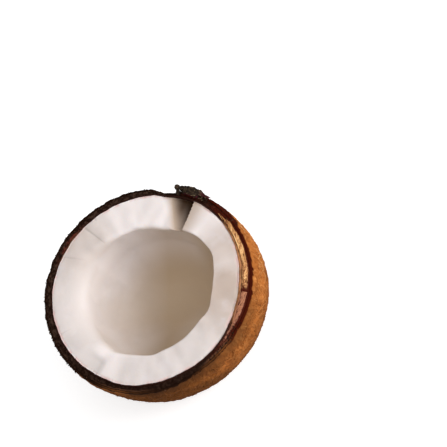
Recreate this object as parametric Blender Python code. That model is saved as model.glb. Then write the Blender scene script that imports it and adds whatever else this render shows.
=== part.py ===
"""Half a ripe coconut, opened across the middle and lying on its round back with the cut face up.

Metres, +Z up. The origin is the middle of the small flat spot that the half rests on.
Angles are measured round Z from +X. Five pieces are nested or set on each other, from the inside out:
the white flesh, the brown skin that lines it, the hard shell, the coat of husk fibre on the shell, and a
tuft of husk that stayed on the broken edge.
"""

import math
import random

import bmesh
import bpy
from mathutils import Matrix, Vector, noise

MM = 0.001

# The half as a whole
RIM_HEIGHT = 59.0 * MM
GAP = 0.25 * MM
BACK_ROUNDING = 2.0 / 2.4

# The four layers: outer radius at the cut face, outer depth below it, and wall
FLESH_RADIUS = 48.7 * MM
FLESH_DEPTH = 54.0 * MM
SKIN_WALL = 0.5 * MM
SHELL_WALL = 2.4 * MM
COAT_WALL = 0.8 * MM

# The hollow in the flesh
HOLLOW_RADIUS = 35.0 * MM
HOLLOW_DEPTH = 43.0 * MM
HOLLOW_ROUNDING = 2.0 / 2.25
HOLLOW_SHIFT = 1.8 * MM
HOLLOW_SHIFT_AT = math.radians(310)
SOFT_SIDE = 3.0 * MM
SOFT_SIDE_AT = math.radians(70)
SOFT_SIDE_DEPTH = 6.0 * MM
LIP_DEPTHS = (0.1 * MM, 0.8 * MM, 2.6 * MM)
LIP_STEPS = (3.6 * MM, 1.6 * MM, 0.4 * MM)

# The hollow's edge broke in flats between these corners, which fade out on the way down
FLAT_CORNERS = [math.radians(turn) for turn in (12, 58, 104, 150, 197, 234, 287, 338)]
FLATS_SHARE = 0.45
FLATS_FADE_DEPTH = 18.0 * MM

# The nut isn't quite round: pushed to one side, a little long one way, and faintly three-sided
SIDE_PUSH = 0.9 * MM
SIDE_PUSH_AT = math.radians(116)
LONG_WAY = 1.3 * MM
LONG_WAY_AT = math.radians(121)
THREE_SIDED = 0.5 * MM
UNEVEN_FULL_RADIUS = 27.0 * MM

# The cut is a little above the widest part: the back bulges below it, most to one side
BULGE = 0.8 * MM
SWELL = 2.8 * MM
SWELL_AT = math.radians(-47)
SWELL_REACH = math.radians(60)
BULGE_RISE = 0.7

# The shell and its coat broke away lower along one stretch of the edge
DIP = 5.5 * MM
DIP_AT = math.radians(-42)
DIP_REACH = math.radians(55)
DIP_FADE_DEPTH = 16.0 * MM
EDGE_ROUGHNESS = 0.45 * MM
EDGE_ROUGH_LOW = 0.8
EDGE_ROUGH_FROM = 0.3
CHIPS_ROUND = 14.0
CHIPS_ACROSS = 2.5 * MM
SMALL_CHIPS_ROUND = 31.0
SMALL_CHIPS_SHARE = 0.6

# The knob at the pole, flat where the half rests
SPOT_RADIUS = 9.0 * MM
SPOT_BEVEL = 1.2 * MM
SPOT_BEVEL_HEIGHT = 0.36 * MM
KNOB_RADIUS = 12.5 * MM
COAT_HOLE_RADIUS = 14.0 * MM

# Matted fibres, raised from the coat
FIBRE_RELIEF = 0.8 * MM
FIBRES_ROUND = 11.0
FIBRE_LENGTH = 14.0 * MM
FIBRES_SLANT = 0.35
FIBRE_THINNESS = 3.5
FIBRE_CLUMPS_ROUND = 3.5
FIBRE_CLUMPS_SHARE = 0.4
FIBRES_FADE_DEPTH = 5.0 * MM
FIBRES_AT_EDGE = 0.3
FIBRES_FULL_RADIUS = 28.0 * MM
FIBRES_FALL = 0.6

# The flake that is missing from the outside of the edge, with its depths from one end to the other as shares
FLAKE_FROM = math.radians(25)
FLAKE_TO = math.radians(44.5)
FLAKE_DEPTH = 9.0 * MM
FLAKE_DEPTH_OUTSIDE = 13.0 * MM
FLAKE_DEPTH_SHARES = (0.45, 0.85, 1.0, 0.9, 0.4)
FLAKE_WALL_LEFT = 0.9 * MM
FLAKE_ROUND = 1.2 * MM
FLAKE_ROUND_STEPS = 2
CLEAR_OF_EDGE = 6.0 * MM

# The notch in the flesh: one steep side, and a ramp that widens outwards
NOTCH_WALL_AT = (math.radians(11.5), math.radians(16.5))
NOTCH_RAMP_AT = (math.radians(24), math.radians(39))
NOTCH_RADII = (30.0 * MM, 52.0 * MM)
NOTCH_DEPTHS = (2.6 * MM, 7.0 * MM)
NOTCH_RAMP_START = 0.3 * MM

# The tuft of husk on the edge; its section is in shares of how proud it stands, hangs and rises
TUFT_FROM = math.radians(7)
TUFT_TO = math.radians(27)
TUFT_HEIGHT = 2.0 * MM
TUFT_HANG = 4.0 * MM
TUFT_PROUD = 1.0 * MM
TUFT_SECTION = ((0.7, -0.8), (1.0, 0.0), (0.2, 0.8))
TUFT_INSIDE_RISE = 0.6
TUFT_ROUGHNESS = 0.7 * MM
TUFT_ROUGH_LOW = 0.5
TUFT_LUMPS_ROUND = 60.0
TUFT_LUMP = 1.4 * MM
TUFT_INNER_RADIUS = 50.5 * MM
TUFT_OVER_FIBRES = 0.5
TUFT_SHOULDER = 1.0 * MM
TUFT_LOW = 0.25
TUFT_HIGH = 1.35
TUFT_STEP_AT = (0.29, 0.37)
TUFT_SAG = 0.5
TUFT_SAG_AT = (0.45, 0.75)
TUFT_GAP = 0.5
TUFT_GAP_AT = (0.78, 0.88)
TUFT_END_SIZE = 0.35
TUFT_END_SHARE = 0.22
TUFT_STEPS = 16
TUFT_FIBRES = 22
TUFT_FIBRE_LENGTH = 3.2 * MM
TUFT_FIBRE_RADIUS = 0.5 * MM
TUFT_FIBRE_TIP_RADIUS = 0.15 * MM
TUFT_FIBRE_SHORTEST = 0.6
TUFT_FIBRE_SIDES = 4
TUFT_FIBRES_OUT = (-0.2, 1.3)
TUFT_FIBRES_ALONG = 1.3
TUFT_ROOT_HEIGHT = 0.3 * MM
TUFT_KNOT_RADIUS = 1.5 * MM
TUFT_KNOT_FINENESS = 2
TUFT_KNOT_BACK = math.radians(0.8)
TUFT_KNOT_OUT = 0.6 * MM
TUFT_KNOT_UP = 1.0 * MM
TUFT_NECK_RADIUS = 0.9 * MM
TUFT_NECK_SIDES = 8
TUFT_SEED = 7

# Nearer than this, two places count as one
SEEN_APART = 0.01 * MM

# Creases sharper than this are shaded sharp
SHARP_FROM = math.radians(35)

# How finely each piece is divided
COARSE_STEPS = 64
COARSE_ROWS = 8
FLESH_STEPS = 80
COAT_STEPS = 120
COAT_ROWS = 26

# Colour, roughness and metallic value of each piece
FINISHES = {
    "flesh": ((0.80, 0.76, 0.71, 1.0), 0.45, 0.0),
    "brown_skin": ((0.23, 0.09, 0.035, 1.0), 0.70, 0.0),
    "shell": ((0.022, 0.010, 0.006, 1.0), 0.60, 0.0),
    "husk_coat": ((0.38, 0.15, 0.045, 1.0), 0.90, 0.0),
    "husk_tuft": ((0.045, 0.024, 0.012, 1.0), 0.95, 0.0),
}

# Radii and depths that follow from the walls and the gaps between them
SKIN_RADIUS = FLESH_RADIUS + GAP + SKIN_WALL
SKIN_DEPTH = FLESH_DEPTH + GAP + SKIN_WALL
SHELL_RADIUS = SKIN_RADIUS + GAP + SHELL_WALL
SHELL_DEPTH = SKIN_DEPTH + GAP + SHELL_WALL
COAT_RADIUS = SHELL_RADIUS + GAP + COAT_WALL
COAT_DEPTH = SHELL_DEPTH + GAP + COAT_WALL
TUFT_OUTER_RADIUS = COAT_RADIUS + TUFT_OVER_FIBRES * FIBRE_RELIEF + GAP


def between(value, low, high):
    """Where value lies from low to high, as 0 to 1."""
    return min(1.0, max(0.0, (value - low) / (high - low)))


def smooth(share):
    """An S-shaped rise from 0 to 1."""
    return share * share * (3.0 - 2.0 * share)


def turned(angle, middle):
    """The angle as seen from middle, between -pi and pi."""
    return math.remainder(angle - middle, math.tau)


def at(angle, radius, height):
    """The point at this angle and radius, at this height."""
    return Vector((radius * math.cos(angle), radius * math.sin(angle), height))


def lobes(angle):
    """How much wider or narrower the nut is at this angle, as a factor."""
    wider = SIDE_PUSH * math.cos(angle - SIDE_PUSH_AT)
    wider += LONG_WAY * math.cos(2.0 * (angle - LONG_WAY_AT))
    wider += THREE_SIDED * math.cos(3.0 * angle)
    return 1.0 + wider / FLESH_RADIUS


def edge_drop(angle, radius):
    """How far the edge lies below the cut face, more towards the outside and most along the dip."""
    across = between(radius, FLESH_RADIUS, COAT_RADIUS)
    away = min(1.0, abs(turned(angle, DIP_AT)) / DIP_REACH)
    rough = noise.noise(at(angle, CHIPS_ROUND, radius / CHIPS_ACROSS))
    rough += SMALL_CHIPS_SHARE * noise.noise(at(angle, SMALL_CHIPS_ROUND, radius / CHIPS_ACROSS))
    dip = DIP * math.cos(math.pi / 2.0 * away)
    chips = smooth(between(across, 0.0, EDGE_ROUGH_FROM)) * EDGE_ROUGHNESS * (EDGE_ROUGH_LOW + rough)
    return across * dip + chips


def flats(angle):
    """The flats of the hollow's edge, as a factor on its radius."""
    turn = (angle - FLAT_CORNERS[0]) % math.tau + FLAT_CORNERS[0]
    ends = FLAT_CORNERS + [FLAT_CORNERS[0] + math.tau]
    side = next(number for number in range(len(FLAT_CORNERS)) if turn <= ends[number + 1])
    half = (ends[side + 1] - ends[side]) / 2.0
    straight = math.cos(half) / math.cos(turn - ends[side] - half)
    return 1.0 + FLATS_SHARE * (straight - 1.0)


def bulge(angle, height):
    """How much wider the nut is here than a plain round back, as a factor."""
    away = min(1.0, abs(turned(angle, SWELL_AT)) / SWELL_REACH)
    wider = BULGE + SWELL * math.cos(math.pi / 2.0 * away) ** 2
    share = between(RIM_HEIGHT - height, 0.0, RIM_HEIGHT)
    return 1.0 + wider / COAT_RADIUS * math.sin(math.pi * share**BULGE_RISE)


def placed(angle, radius, height):
    """The point in the nut's own form, with its lobes and its bulge."""
    uneven = smooth(between(radius, SPOT_RADIUS, UNEVEN_FULL_RADIUS))
    return at(angle, radius * (1.0 + uneven * (lobes(angle) * bulge(angle, height) - 1.0)), height)


def settled(angle, radius, height):
    """The point in the nut's own form, lowered where the edge dips and is rough."""
    fade = 1.0 - between(RIM_HEIGHT - height, 0.0, DIP_FADE_DEPTH)
    return placed(angle, radius, height) - Vector((0.0, 0.0, fade * edge_drop(angle, radius)))


def fibre_relief(angle, height):
    """How far the matted fibres stand out, in ridges that cross each other at a slant."""
    rise = height / FIBRE_LENGTH
    ridges = [
        1.0 - FIBRE_THINNESS * abs(noise.noise(at(angle + slant * rise, FIBRES_ROUND, rise + slant)))
        for slant in (-FIBRES_SLANT, FIBRES_SLANT)
    ]
    clump = FIBRE_CLUMPS_SHARE * noise.noise(at(angle, FIBRE_CLUMPS_ROUND, rise))
    deep = smooth(between(RIM_HEIGHT - height, 0.0, FIBRES_FADE_DEPTH))
    fade = FIBRES_AT_EDGE + (1.0 - FIBRES_AT_EDGE) * deep
    return fade * FIBRE_RELIEF * between(max(ridges) + clump, 0.0, 1.0)


def side_of_cup(radius, depth, rounding, rows, last_radius=0.0):
    """Points (radius, height) down one side of a cup, from the cut face to last_radius."""
    last_turn = math.acos((last_radius / radius) ** (1.0 / rounding))
    points = []
    for row in range(rows):
        turn = last_turn * row / rows
        across = radius * math.cos(turn) ** rounding
        points.append((across, RIM_HEIGHT - depth * math.sin(turn) ** rounding))
    points.append((last_radius, RIM_HEIGHT - depth * math.sin(last_turn) ** rounding))
    return points


def added(name, shape):
    """The bmesh as a named object in the scene."""
    mesh = bpy.data.meshes.new(name)
    shape.to_mesh(mesh)
    shape.free()
    piece = bpy.data.objects.new(name, mesh)
    bpy.context.scene.collection.objects.link(piece)
    return piece


def spun(name, profile, steps, closed=False):
    """A solid turned round Z from points (radius, height), which end on the axis or close on themselves."""
    shape = bmesh.new()
    corners = [shape.verts.new((radius, 0.0, height)) for radius, height in profile]
    edges = [shape.edges.new(pair) for pair in zip(corners, corners[1:])]
    if closed:
        edges.append(shape.edges.new((corners[-1], corners[0])))
    bmesh.ops.spin(
        shape,
        geom=corners + edges,
        cent=(0.0, 0.0, 0.0),
        axis=(0.0, 0.0, 1.0),
        angle=math.tau,
        steps=steps,
        use_merge=True,
    )
    bmesh.ops.remove_doubles(shape, verts=shape.verts, dist=0.001 * MM)
    bmesh.ops.recalc_face_normals(shape, faces=shape.faces)
    return added(name, shape)


def moved(piece, rule):
    """Moves each vertex to where rule(angle, radius, height) puts it."""
    for vertex in piece.data.vertices:
        radius = math.hypot(vertex.co.x, vertex.co.y)
        angle = math.atan2(vertex.co.y, vertex.co.x)
        vertex.co = rule(angle, radius, vertex.co.z)
    return piece


def dressed(piece):
    """Gives the piece its own material and smooth shading with sharp creases."""
    colour, roughness, metallic = FINISHES[piece.name]
    material = bpy.data.materials.new(piece.name)
    material.diffuse_color = colour
    material.use_nodes = True
    surface = material.node_tree.nodes["Principled BSDF"]
    surface.inputs["Base Color"].default_value = colour
    surface.inputs["Roughness"].default_value = roughness
    surface.inputs["Metallic"].default_value = metallic
    piece.data.materials.clear()
    piece.data.materials.append(material)
    piece.data.shade_smooth()
    piece.data.set_sharp_from_angle(angle=SHARP_FROM)


def helper(piece):
    """Marks the piece as a guide that isn't part of the object."""
    piece.hide_render = True
    piece.display_type = "WIRE"
    return piece


def cut(piece, cutter):
    """Takes the cutter's shape out of the piece."""
    boolean = piece.modifiers.new(cutter.name, "BOOLEAN")
    boolean.operation = "DIFFERENCE"
    boolean.solver = "EXACT"
    boolean.object = cutter


def hull(name, points):
    """The smallest convex solid round the points."""
    shape = bmesh.new()
    for point in points:
        shape.verts.new(point)
    made = bmesh.ops.convex_hull(shape, input=shape.verts)
    spare = [item for item in made["geom_interior"] if isinstance(item, bmesh.types.BMVert)]
    bmesh.ops.delete(shape, geom=spare, context="VERTS")
    bmesh.ops.recalc_face_normals(shape, faces=shape.faces)
    return added(name, shape)


def make_flesh():
    """The thick white cup, with its hollow and a rounded inner edge."""
    outside = side_of_cup(FLESH_RADIUS, FLESH_DEPTH, BACK_ROUNDING, COARSE_ROWS)
    inside = side_of_cup(HOLLOW_RADIUS, HOLLOW_DEPTH, HOLLOW_ROUNDING, COARSE_ROWS)
    middle = (FLESH_RADIUS + HOLLOW_RADIUS + LIP_STEPS[0]) / 2.0
    lip = [(HOLLOW_RADIUS + step, RIM_HEIGHT - depth) for depth, step in zip(LIP_DEPTHS, LIP_STEPS)]
    profile = outside[::-1] + [(middle, RIM_HEIGHT)] + lip + inside[1:]

    def rule(angle, radius, height):
        inner = 1.0 - between(radius, HOLLOW_RADIUS, middle)
        share = inner * (1.0 - smooth(between(RIM_HEIGHT - height, 0.0, FLATS_FADE_DEPTH)))
        radius *= 1.0 + share * (flats(angle) - 1.0)
        radius += share * HOLLOW_SHIFT * math.cos(angle - HOLLOW_SHIFT_AT)
        softer = (1.0 + math.cos(angle - SOFT_SIDE_AT)) / 2.0 * between(radius, 0.0, HOLLOW_RADIUS)
        radius -= inner * softer * SOFT_SIDE * smooth(between(RIM_HEIGHT - height, 0.0, SOFT_SIDE_DEPTH))
        return settled(angle, radius, height)

    return moved(spun("flesh", profile, FLESH_STEPS), rule)


def make_brown_skin():
    """The thin brown skin that the flesh grew against."""
    outside = side_of_cup(SKIN_RADIUS, SKIN_DEPTH, BACK_ROUNDING, COARSE_ROWS)
    inside = side_of_cup(SKIN_RADIUS - SKIN_WALL, SKIN_DEPTH - SKIN_WALL, BACK_ROUNDING, COARSE_ROWS)
    return moved(spun("brown_skin", outside[::-1] + inside, COARSE_STEPS), settled)


def make_shell():
    """The hard shell, with a knob at its pole that is flat where the half rests."""
    outside = side_of_cup(SHELL_RADIUS, SHELL_DEPTH, BACK_ROUNDING, COARSE_ROWS, KNOB_RADIUS)
    inside = side_of_cup(SHELL_RADIUS - SHELL_WALL, SHELL_DEPTH - SHELL_WALL, BACK_ROUNDING, COARSE_ROWS)
    knob = [(0.0, 0.0), (SPOT_RADIUS, 0.0), (SPOT_RADIUS + SPOT_BEVEL, SPOT_BEVEL_HEIGHT)]
    return moved(spun("shell", knob + outside[::-1] + inside, COARSE_STEPS), settled)


def make_husk_coat():
    """The coat of matted fibre on the shell, open round the knob at the pole."""
    outside = side_of_cup(COAT_RADIUS, COAT_DEPTH, BACK_ROUNDING, COAT_ROWS, COAT_HOLE_RADIUS)
    inside = side_of_cup(
        COAT_RADIUS - COAT_WALL, COAT_DEPTH - COAT_WALL, BACK_ROUNDING, COARSE_ROWS, COAT_HOLE_RADIUS
    )
    coat = spun("husk_coat", outside[::-1] + inside, COAT_STEPS, closed=True)
    power = 2.0 / BACK_ROUNDING

    def rule(angle, radius, height):
        place = settled(angle, radius, height)
        depth = between(RIM_HEIGHT - height, 0.0, COAT_DEPTH)
        middle_of_wall = COAT_RADIUS * (1.0 - depth**power) ** (1.0 / power) - COAT_WALL / 2.0
        if radius > middle_of_wall:
            outwards = Vector((place.x, place.y, FIBRES_FALL * (height - RIM_HEIGHT))).normalized()
            fade = smooth(between(radius, COAT_HOLE_RADIUS, FIBRES_FULL_RADIUS))
            place += outwards * fade * fibre_relief(angle, height)
        return place

    return moved(coat, rule)


def make_flake_cutter():
    """The block that takes a flake off the outside of the edge, deeper towards the outside."""
    inner = SHELL_RADIUS - SHELL_WALL + FLAKE_WALL_LEFT
    outer = COAT_RADIUS + CLEAR_OF_EDGE
    top = RIM_HEIGHT + CLEAR_OF_EDGE
    points = []
    for number, share in enumerate(FLAKE_DEPTH_SHARES):
        angle = FLAKE_FROM + (FLAKE_TO - FLAKE_FROM) * number / (len(FLAKE_DEPTH_SHARES) - 1)
        points += [
            placed(angle, inner, top),
            placed(angle, outer, top),
            placed(angle, inner, RIM_HEIGHT - share * FLAKE_DEPTH),
            placed(angle, outer, RIM_HEIGHT - share * FLAKE_DEPTH_OUTSIDE),
        ]
    cutter = hull("flake_cutter", points)
    bevel = cutter.modifiers.new("rounded", "BEVEL")
    bevel.width = FLAKE_ROUND
    bevel.segments = FLAKE_ROUND_STEPS
    return helper(cutter)


def make_notch_cutter():
    """The wedge that leaves a notch in the flesh."""
    points = []
    above = RIM_HEIGHT + CLEAR_OF_EDGE
    for radius, depth, wall, ramp in zip(NOTCH_RADII, NOTCH_DEPTHS, NOTCH_WALL_AT, NOTCH_RAMP_AT):
        points += [
            placed(wall, radius, above),
            placed(wall, radius, RIM_HEIGHT - depth),
            placed(ramp, radius, above),
            placed(ramp, radius, RIM_HEIGHT - NOTCH_RAMP_START),
        ]
    return helper(hull("notch_cutter", points))


def tuft_hump(share):
    """How high the tuft stands at this share of its length, as a factor: low, high, and lower by the knot."""
    rise = TUFT_LOW + (TUFT_HIGH - TUFT_LOW) * smooth(between(share, *TUFT_STEP_AT))
    rise -= TUFT_SAG * smooth(between(share, *TUFT_SAG_AT))
    return rise - TUFT_GAP * smooth(between(share, *TUFT_GAP_AT))


def make_tuft_clump():
    """The body of the tuft, which hooks over the edge and is low at one end."""
    bottom = RIM_HEIGHT + GAP
    profile = [
        (TUFT_INNER_RADIUS, bottom),
        (TUFT_OUTER_RADIUS, bottom),
        (TUFT_OUTER_RADIUS, RIM_HEIGHT - TUFT_HANG),
    ]
    for proud, rise in TUFT_SECTION:
        reach = TUFT_HANG if rise < 0.0 else TUFT_HEIGHT
        profile.append((TUFT_OUTER_RADIUS + proud * TUFT_PROUD, RIM_HEIGHT + rise * reach))
    profile += [
        (TUFT_INNER_RADIUS + TUFT_SHOULDER, RIM_HEIGHT + TUFT_HEIGHT),
        (TUFT_INNER_RADIUS, RIM_HEIGHT + TUFT_INSIDE_RISE * TUFT_HEIGHT),
    ]
    shape = bmesh.new()
    corners = [shape.verts.new(at(TUFT_FROM, radius, height)) for radius, height in profile]
    bmesh.ops.spin(
        shape,
        geom=[shape.faces.new(corners)],
        cent=(0.0, 0.0, 0.0),
        axis=(0.0, 0.0, 1.0),
        angle=TUFT_TO - TUFT_FROM,
        steps=TUFT_STEPS,
    )
    bmesh.ops.recalc_face_normals(shape, faces=shape.faces)

    def rule(angle, radius, height):
        share = between(angle, TUFT_FROM, TUFT_TO)
        end = smooth(between(min(share, 1.0 - share), 0.0, TUFT_END_SHARE))
        size = TUFT_END_SIZE + (1.0 - TUFT_END_SIZE) * end
        lumps = noise.noise(at(angle, TUFT_LUMPS_ROUND, (height + radius) / TUFT_LUMP))
        lump = TUFT_ROUGHNESS * max(0.0, TUFT_ROUGH_LOW + lumps)
        if radius > TUFT_OUTER_RADIUS + SEEN_APART:
            radius += lump
        if height > bottom + SEEN_APART:
            height = bottom + (height - bottom) * tuft_hump(share) + lump
        else:
            height = bottom + (height - bottom) * size
        radius = TUFT_OUTER_RADIUS + (radius - TUFT_OUTER_RADIUS) * size
        return placed(angle, radius, height)

    return moved(added("husk_tuft", shape), rule)


def make_stalk(name, root, way, length, radii, sides):
    """A short straight stalk from root in the direction of way, with its radii at root and tip."""
    shape = bmesh.new()
    bmesh.ops.create_cone(
        shape, cap_ends=True, segments=sides, radius1=radii[0], radius2=radii[1], depth=length
    )
    stand = way.to_track_quat("Z", "Y").to_matrix().to_4x4()
    bmesh.ops.translate(shape, verts=shape.verts, vec=(0.0, 0.0, length / 2.0))
    bmesh.ops.transform(shape, matrix=Matrix.Translation(root) @ stand, verts=shape.verts)
    return added(name, shape)


def make_tuft_knot():
    """The knot at one end of the tuft, and the neck that it stands on."""
    angle = TUFT_TO - TUFT_KNOT_BACK
    radius = TUFT_INNER_RADIUS + TUFT_KNOT_RADIUS + TUFT_KNOT_OUT
    middle = placed(angle, radius, RIM_HEIGHT + TUFT_HEIGHT + TUFT_KNOT_UP)
    root = placed(angle, radius, RIM_HEIGHT + GAP)
    shape = bmesh.new()
    bmesh.ops.create_icosphere(shape, subdivisions=TUFT_KNOT_FINENESS, radius=TUFT_KNOT_RADIUS)
    bmesh.ops.translate(shape, verts=shape.verts, vec=middle)
    way = middle - root
    radii = (TUFT_NECK_RADIUS, TUFT_NECK_RADIUS)
    neck = make_stalk("tuft_neck", root, way, way.length, radii, TUFT_NECK_SIDES)
    return [added("tuft_knot", shape), neck]


def make_tuft_fibres():
    """Stiff fibres that stand out of the tuft at uneven angles, rooted inside it."""
    draw = random.Random(TUFT_SEED)
    radii = (TUFT_FIBRE_RADIUS, TUFT_FIBRE_TIP_RADIUS)
    fibres = []
    for number in range(TUFT_FIBRES):
        share = (number + 0.5) / TUFT_FIBRES
        angle = TUFT_FROM + (TUFT_TO - TUFT_FROM) * share
        root_radius = draw.uniform(TUFT_INNER_RADIUS + TUFT_SHOULDER, TUFT_OUTER_RADIUS)
        root = placed(angle, root_radius, RIM_HEIGHT + TUFT_ROOT_HEIGHT)
        outwards = at(angle, draw.uniform(*TUFT_FIBRES_OUT), 1.0)
        along = at(angle + math.pi / 2.0, draw.uniform(-TUFT_FIBRES_ALONG, TUFT_FIBRES_ALONG), 0.0)
        length = TUFT_FIBRE_LENGTH * draw.uniform(TUFT_FIBRE_SHORTEST, 1.0) * tuft_hump(share)
        way = outwards + along
        fibres.append(make_stalk(f"tuft_fibre_{number}", root, way, length, radii, TUFT_FIBRE_SIDES))
    return fibres


def joined(body, pieces):
    """The body with the pieces joined to it, which are then removed."""
    group = bpy.data.collections.new("to_join")
    bpy.context.scene.collection.children.link(group)
    for piece in pieces:
        bpy.context.scene.collection.objects.unlink(piece)
        group.objects.link(piece)
    join = body.modifiers.new("join", "BOOLEAN")
    join.operation = "UNION"
    join.solver = "EXACT"
    join.operand_type = "COLLECTION"
    join.collection = group
    bpy.context.view_layer.update()
    graph = bpy.context.evaluated_depsgraph_get()
    whole = bpy.data.meshes.new_from_object(body.evaluated_get(graph))
    body.modifiers.clear()
    body.data = whole
    for piece in pieces:
        bpy.data.objects.remove(piece, do_unlink=True)
    bpy.data.collections.remove(group)
    return body


def make_husk_tuft():
    """The tuft of husk on the edge: a rough clump, a knot and stiff fibres, grown together."""
    return joined(make_tuft_clump(), make_tuft_knot() + make_tuft_fibres())


def main():
    """Clears the scene and makes the half, from the inside out."""
    for old in list(bpy.data.objects):
        bpy.data.objects.remove(old, do_unlink=True)
    flesh = make_flesh()
    skin = make_brown_skin()
    shell = make_shell()
    coat = make_husk_coat()
    tuft = make_husk_tuft()
    cut(flesh, make_notch_cutter())
    flake = make_flake_cutter()
    cut(shell, flake)
    cut(coat, flake)
    for piece in (flesh, skin, shell, coat, tuft):
        dressed(piece)


main()
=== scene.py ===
"""The looks of half a ripe coconut that lies on its round back with the cut face up.

Metres, +Z up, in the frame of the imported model. Angles are measured round Z from +X. The pieces are built
from the inside out: flesh, seed skin, shell, fibre coat with its strands, and the tuft of husk on the edge.
"""

import logging
import math
import random
from collections.abc import Callable, Sequence
from dataclasses import dataclass
from enum import Enum

import bmesh
import bpy
from mathutils import Matrix, Vector, noise


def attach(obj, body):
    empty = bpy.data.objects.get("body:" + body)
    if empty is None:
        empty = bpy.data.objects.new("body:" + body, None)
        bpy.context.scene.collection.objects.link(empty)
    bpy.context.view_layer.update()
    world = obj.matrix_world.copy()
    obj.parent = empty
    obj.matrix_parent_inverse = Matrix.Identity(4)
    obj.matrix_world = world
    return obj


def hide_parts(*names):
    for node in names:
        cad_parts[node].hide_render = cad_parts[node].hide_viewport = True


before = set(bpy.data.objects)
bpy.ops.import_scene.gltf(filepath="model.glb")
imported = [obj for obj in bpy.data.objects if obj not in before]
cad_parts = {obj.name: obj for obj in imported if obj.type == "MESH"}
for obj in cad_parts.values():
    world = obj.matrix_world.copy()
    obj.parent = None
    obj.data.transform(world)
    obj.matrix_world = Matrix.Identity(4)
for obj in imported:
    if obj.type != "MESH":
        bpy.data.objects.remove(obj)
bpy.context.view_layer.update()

LOG = logging.getLogger("coconut")
MM = 0.001
BODY = "root"
PHOTO_SIDE = 447
DOUBLINGS = 4
DOUBLES_WITHIN = 0.0005 * MM
PLAIN_LIP = 1.0 * MM
TUBE_SIDES = 4
Colour = tuple[float, float, float]
Masks = tuple[float, ...]


class Zone(Enum):
    """Where on a layer a row of its mesh lies."""

    OUTSIDE = "outside"
    TOP = "top"
    LIP = "lip"
    INSIDE = "inside"
    KNOB = "knob"


def between(value: float, low: float, high: float) -> float:
    """Where value lies from low to high, as 0 to 1."""
    return min(1.0, max(0.0, (value - low) / (high - low)))


def rising(value: float, low: float, high: float) -> float:
    """An S-shaped rise from 0 at low to 1 at high, which may also be the smaller of the two."""
    share = between(value, low, high)
    return share * share * (3.0 - 2.0 * share)


def blend(first: float, second: float, share: float) -> float:
    """The value at this share of the way from first to second."""
    return first + (second - first) * share


def turned(angle: float, middle: float) -> float:
    """The angle as seen from middle, between -pi and pi."""
    return math.remainder(angle - middle, math.tau)


def at(angle: float, radius: float, height: float) -> Vector:
    """The point at this angle and radius, at this height."""
    return Vector((radius * math.cos(angle), radius * math.sin(angle), height))


@dataclass(frozen=True)
class Hill:
    """A smooth hill in a value that changes round the nut.

    Attributes:
        height: Its height.
        middle: Angle of its top, in degrees.
        reach: How far from its top it ends on both sides, in degrees.
    """

    height: float
    middle: float
    reach: float

    def at(self, angle: float) -> float:
        """The value at this angle."""
        away = min(1.0, abs(turned(angle, math.radians(self.middle))) / math.radians(self.reach))
        return self.height * math.cos(math.pi / 2.0 * away) ** 2


@dataclass(frozen=True)
class Stretch:
    """A stretch of the way round the nut over which a value holds.

    Attributes:
        height: The value.
        start: Angle where the stretch starts, in degrees.
        end: Angle where it ends, in degrees.
        slope: How far outside it the value has fallen to 0, in degrees.
    """

    height: float
    start: float
    end: float
    slope: float

    def at(self, angle: float) -> float:
        """The value at this angle."""
        half = turned(math.radians(self.end), math.radians(self.start)) / 2.0
        away = abs(turned(angle, math.radians(self.start) + half)) - half
        return self.height * rising(away, math.radians(self.slope), 0.0)


@dataclass(frozen=True)
class Ripple:
    """Smooth noise round the nut, which may also change along a second way.

    Attributes:
        height: How high its waves are.
        waves: How many waves there are in a radian.
        layer: Which layer of the noise it is read from.
        length: How long its waves are along the second way.
        slant: How far they turn along the second way, in radians.
    """

    height: float
    waves: float
    layer: float = 0.0
    length: float = math.inf
    slant: float = 0.0

    def at(self, angle: float, place: float = 0.0) -> float:
        """The value at this angle and this place on the second way."""
        layer = self.layer + place / self.length
        return self.height * noise.noise(at(angle + self.slant * place, self.waves, layer))


@dataclass(frozen=True)
class Ramp:
    """A smooth change from nothing to all of something.

    Attributes:
        none_at: The value at which there is nothing of it.
        all_at: The value at which there is all of it.
    """

    none_at: float
    all_at: float

    def of(self, value: float) -> float:
        """How much of it there is at this value, from 0 to 1."""
        return rising(value, self.none_at, self.all_at)


Term = Hill | Stretch | Ripple


def summed(terms: Sequence[Term], angle: float, *place: float) -> float:
    """The sum of the terms at this angle, and at this place on the second way of ripples."""
    return sum(term.at(angle, *place) for term in terms)


def highest(terms: Sequence[Term], angle: float) -> float:
    """The highest of the terms at this angle."""
    return max(term.at(angle) for term in terms)


def turn_ramp(none_at: float, all_at: float) -> Ramp:
    """A ramp over an angle, with both its ends given in degrees."""
    return Ramp(math.radians(none_at), math.radians(all_at))


EVERYWHERE = Ramp(-1.0, 0.0)
OFF_AXIS = Ramp(5.0 * MM, 22.0 * MM)
DIP_NARROWS = turn_ramp(-24.0, -6.0)
DIP_WIDENS = turn_ramp(-58.0, -80.0)


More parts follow.
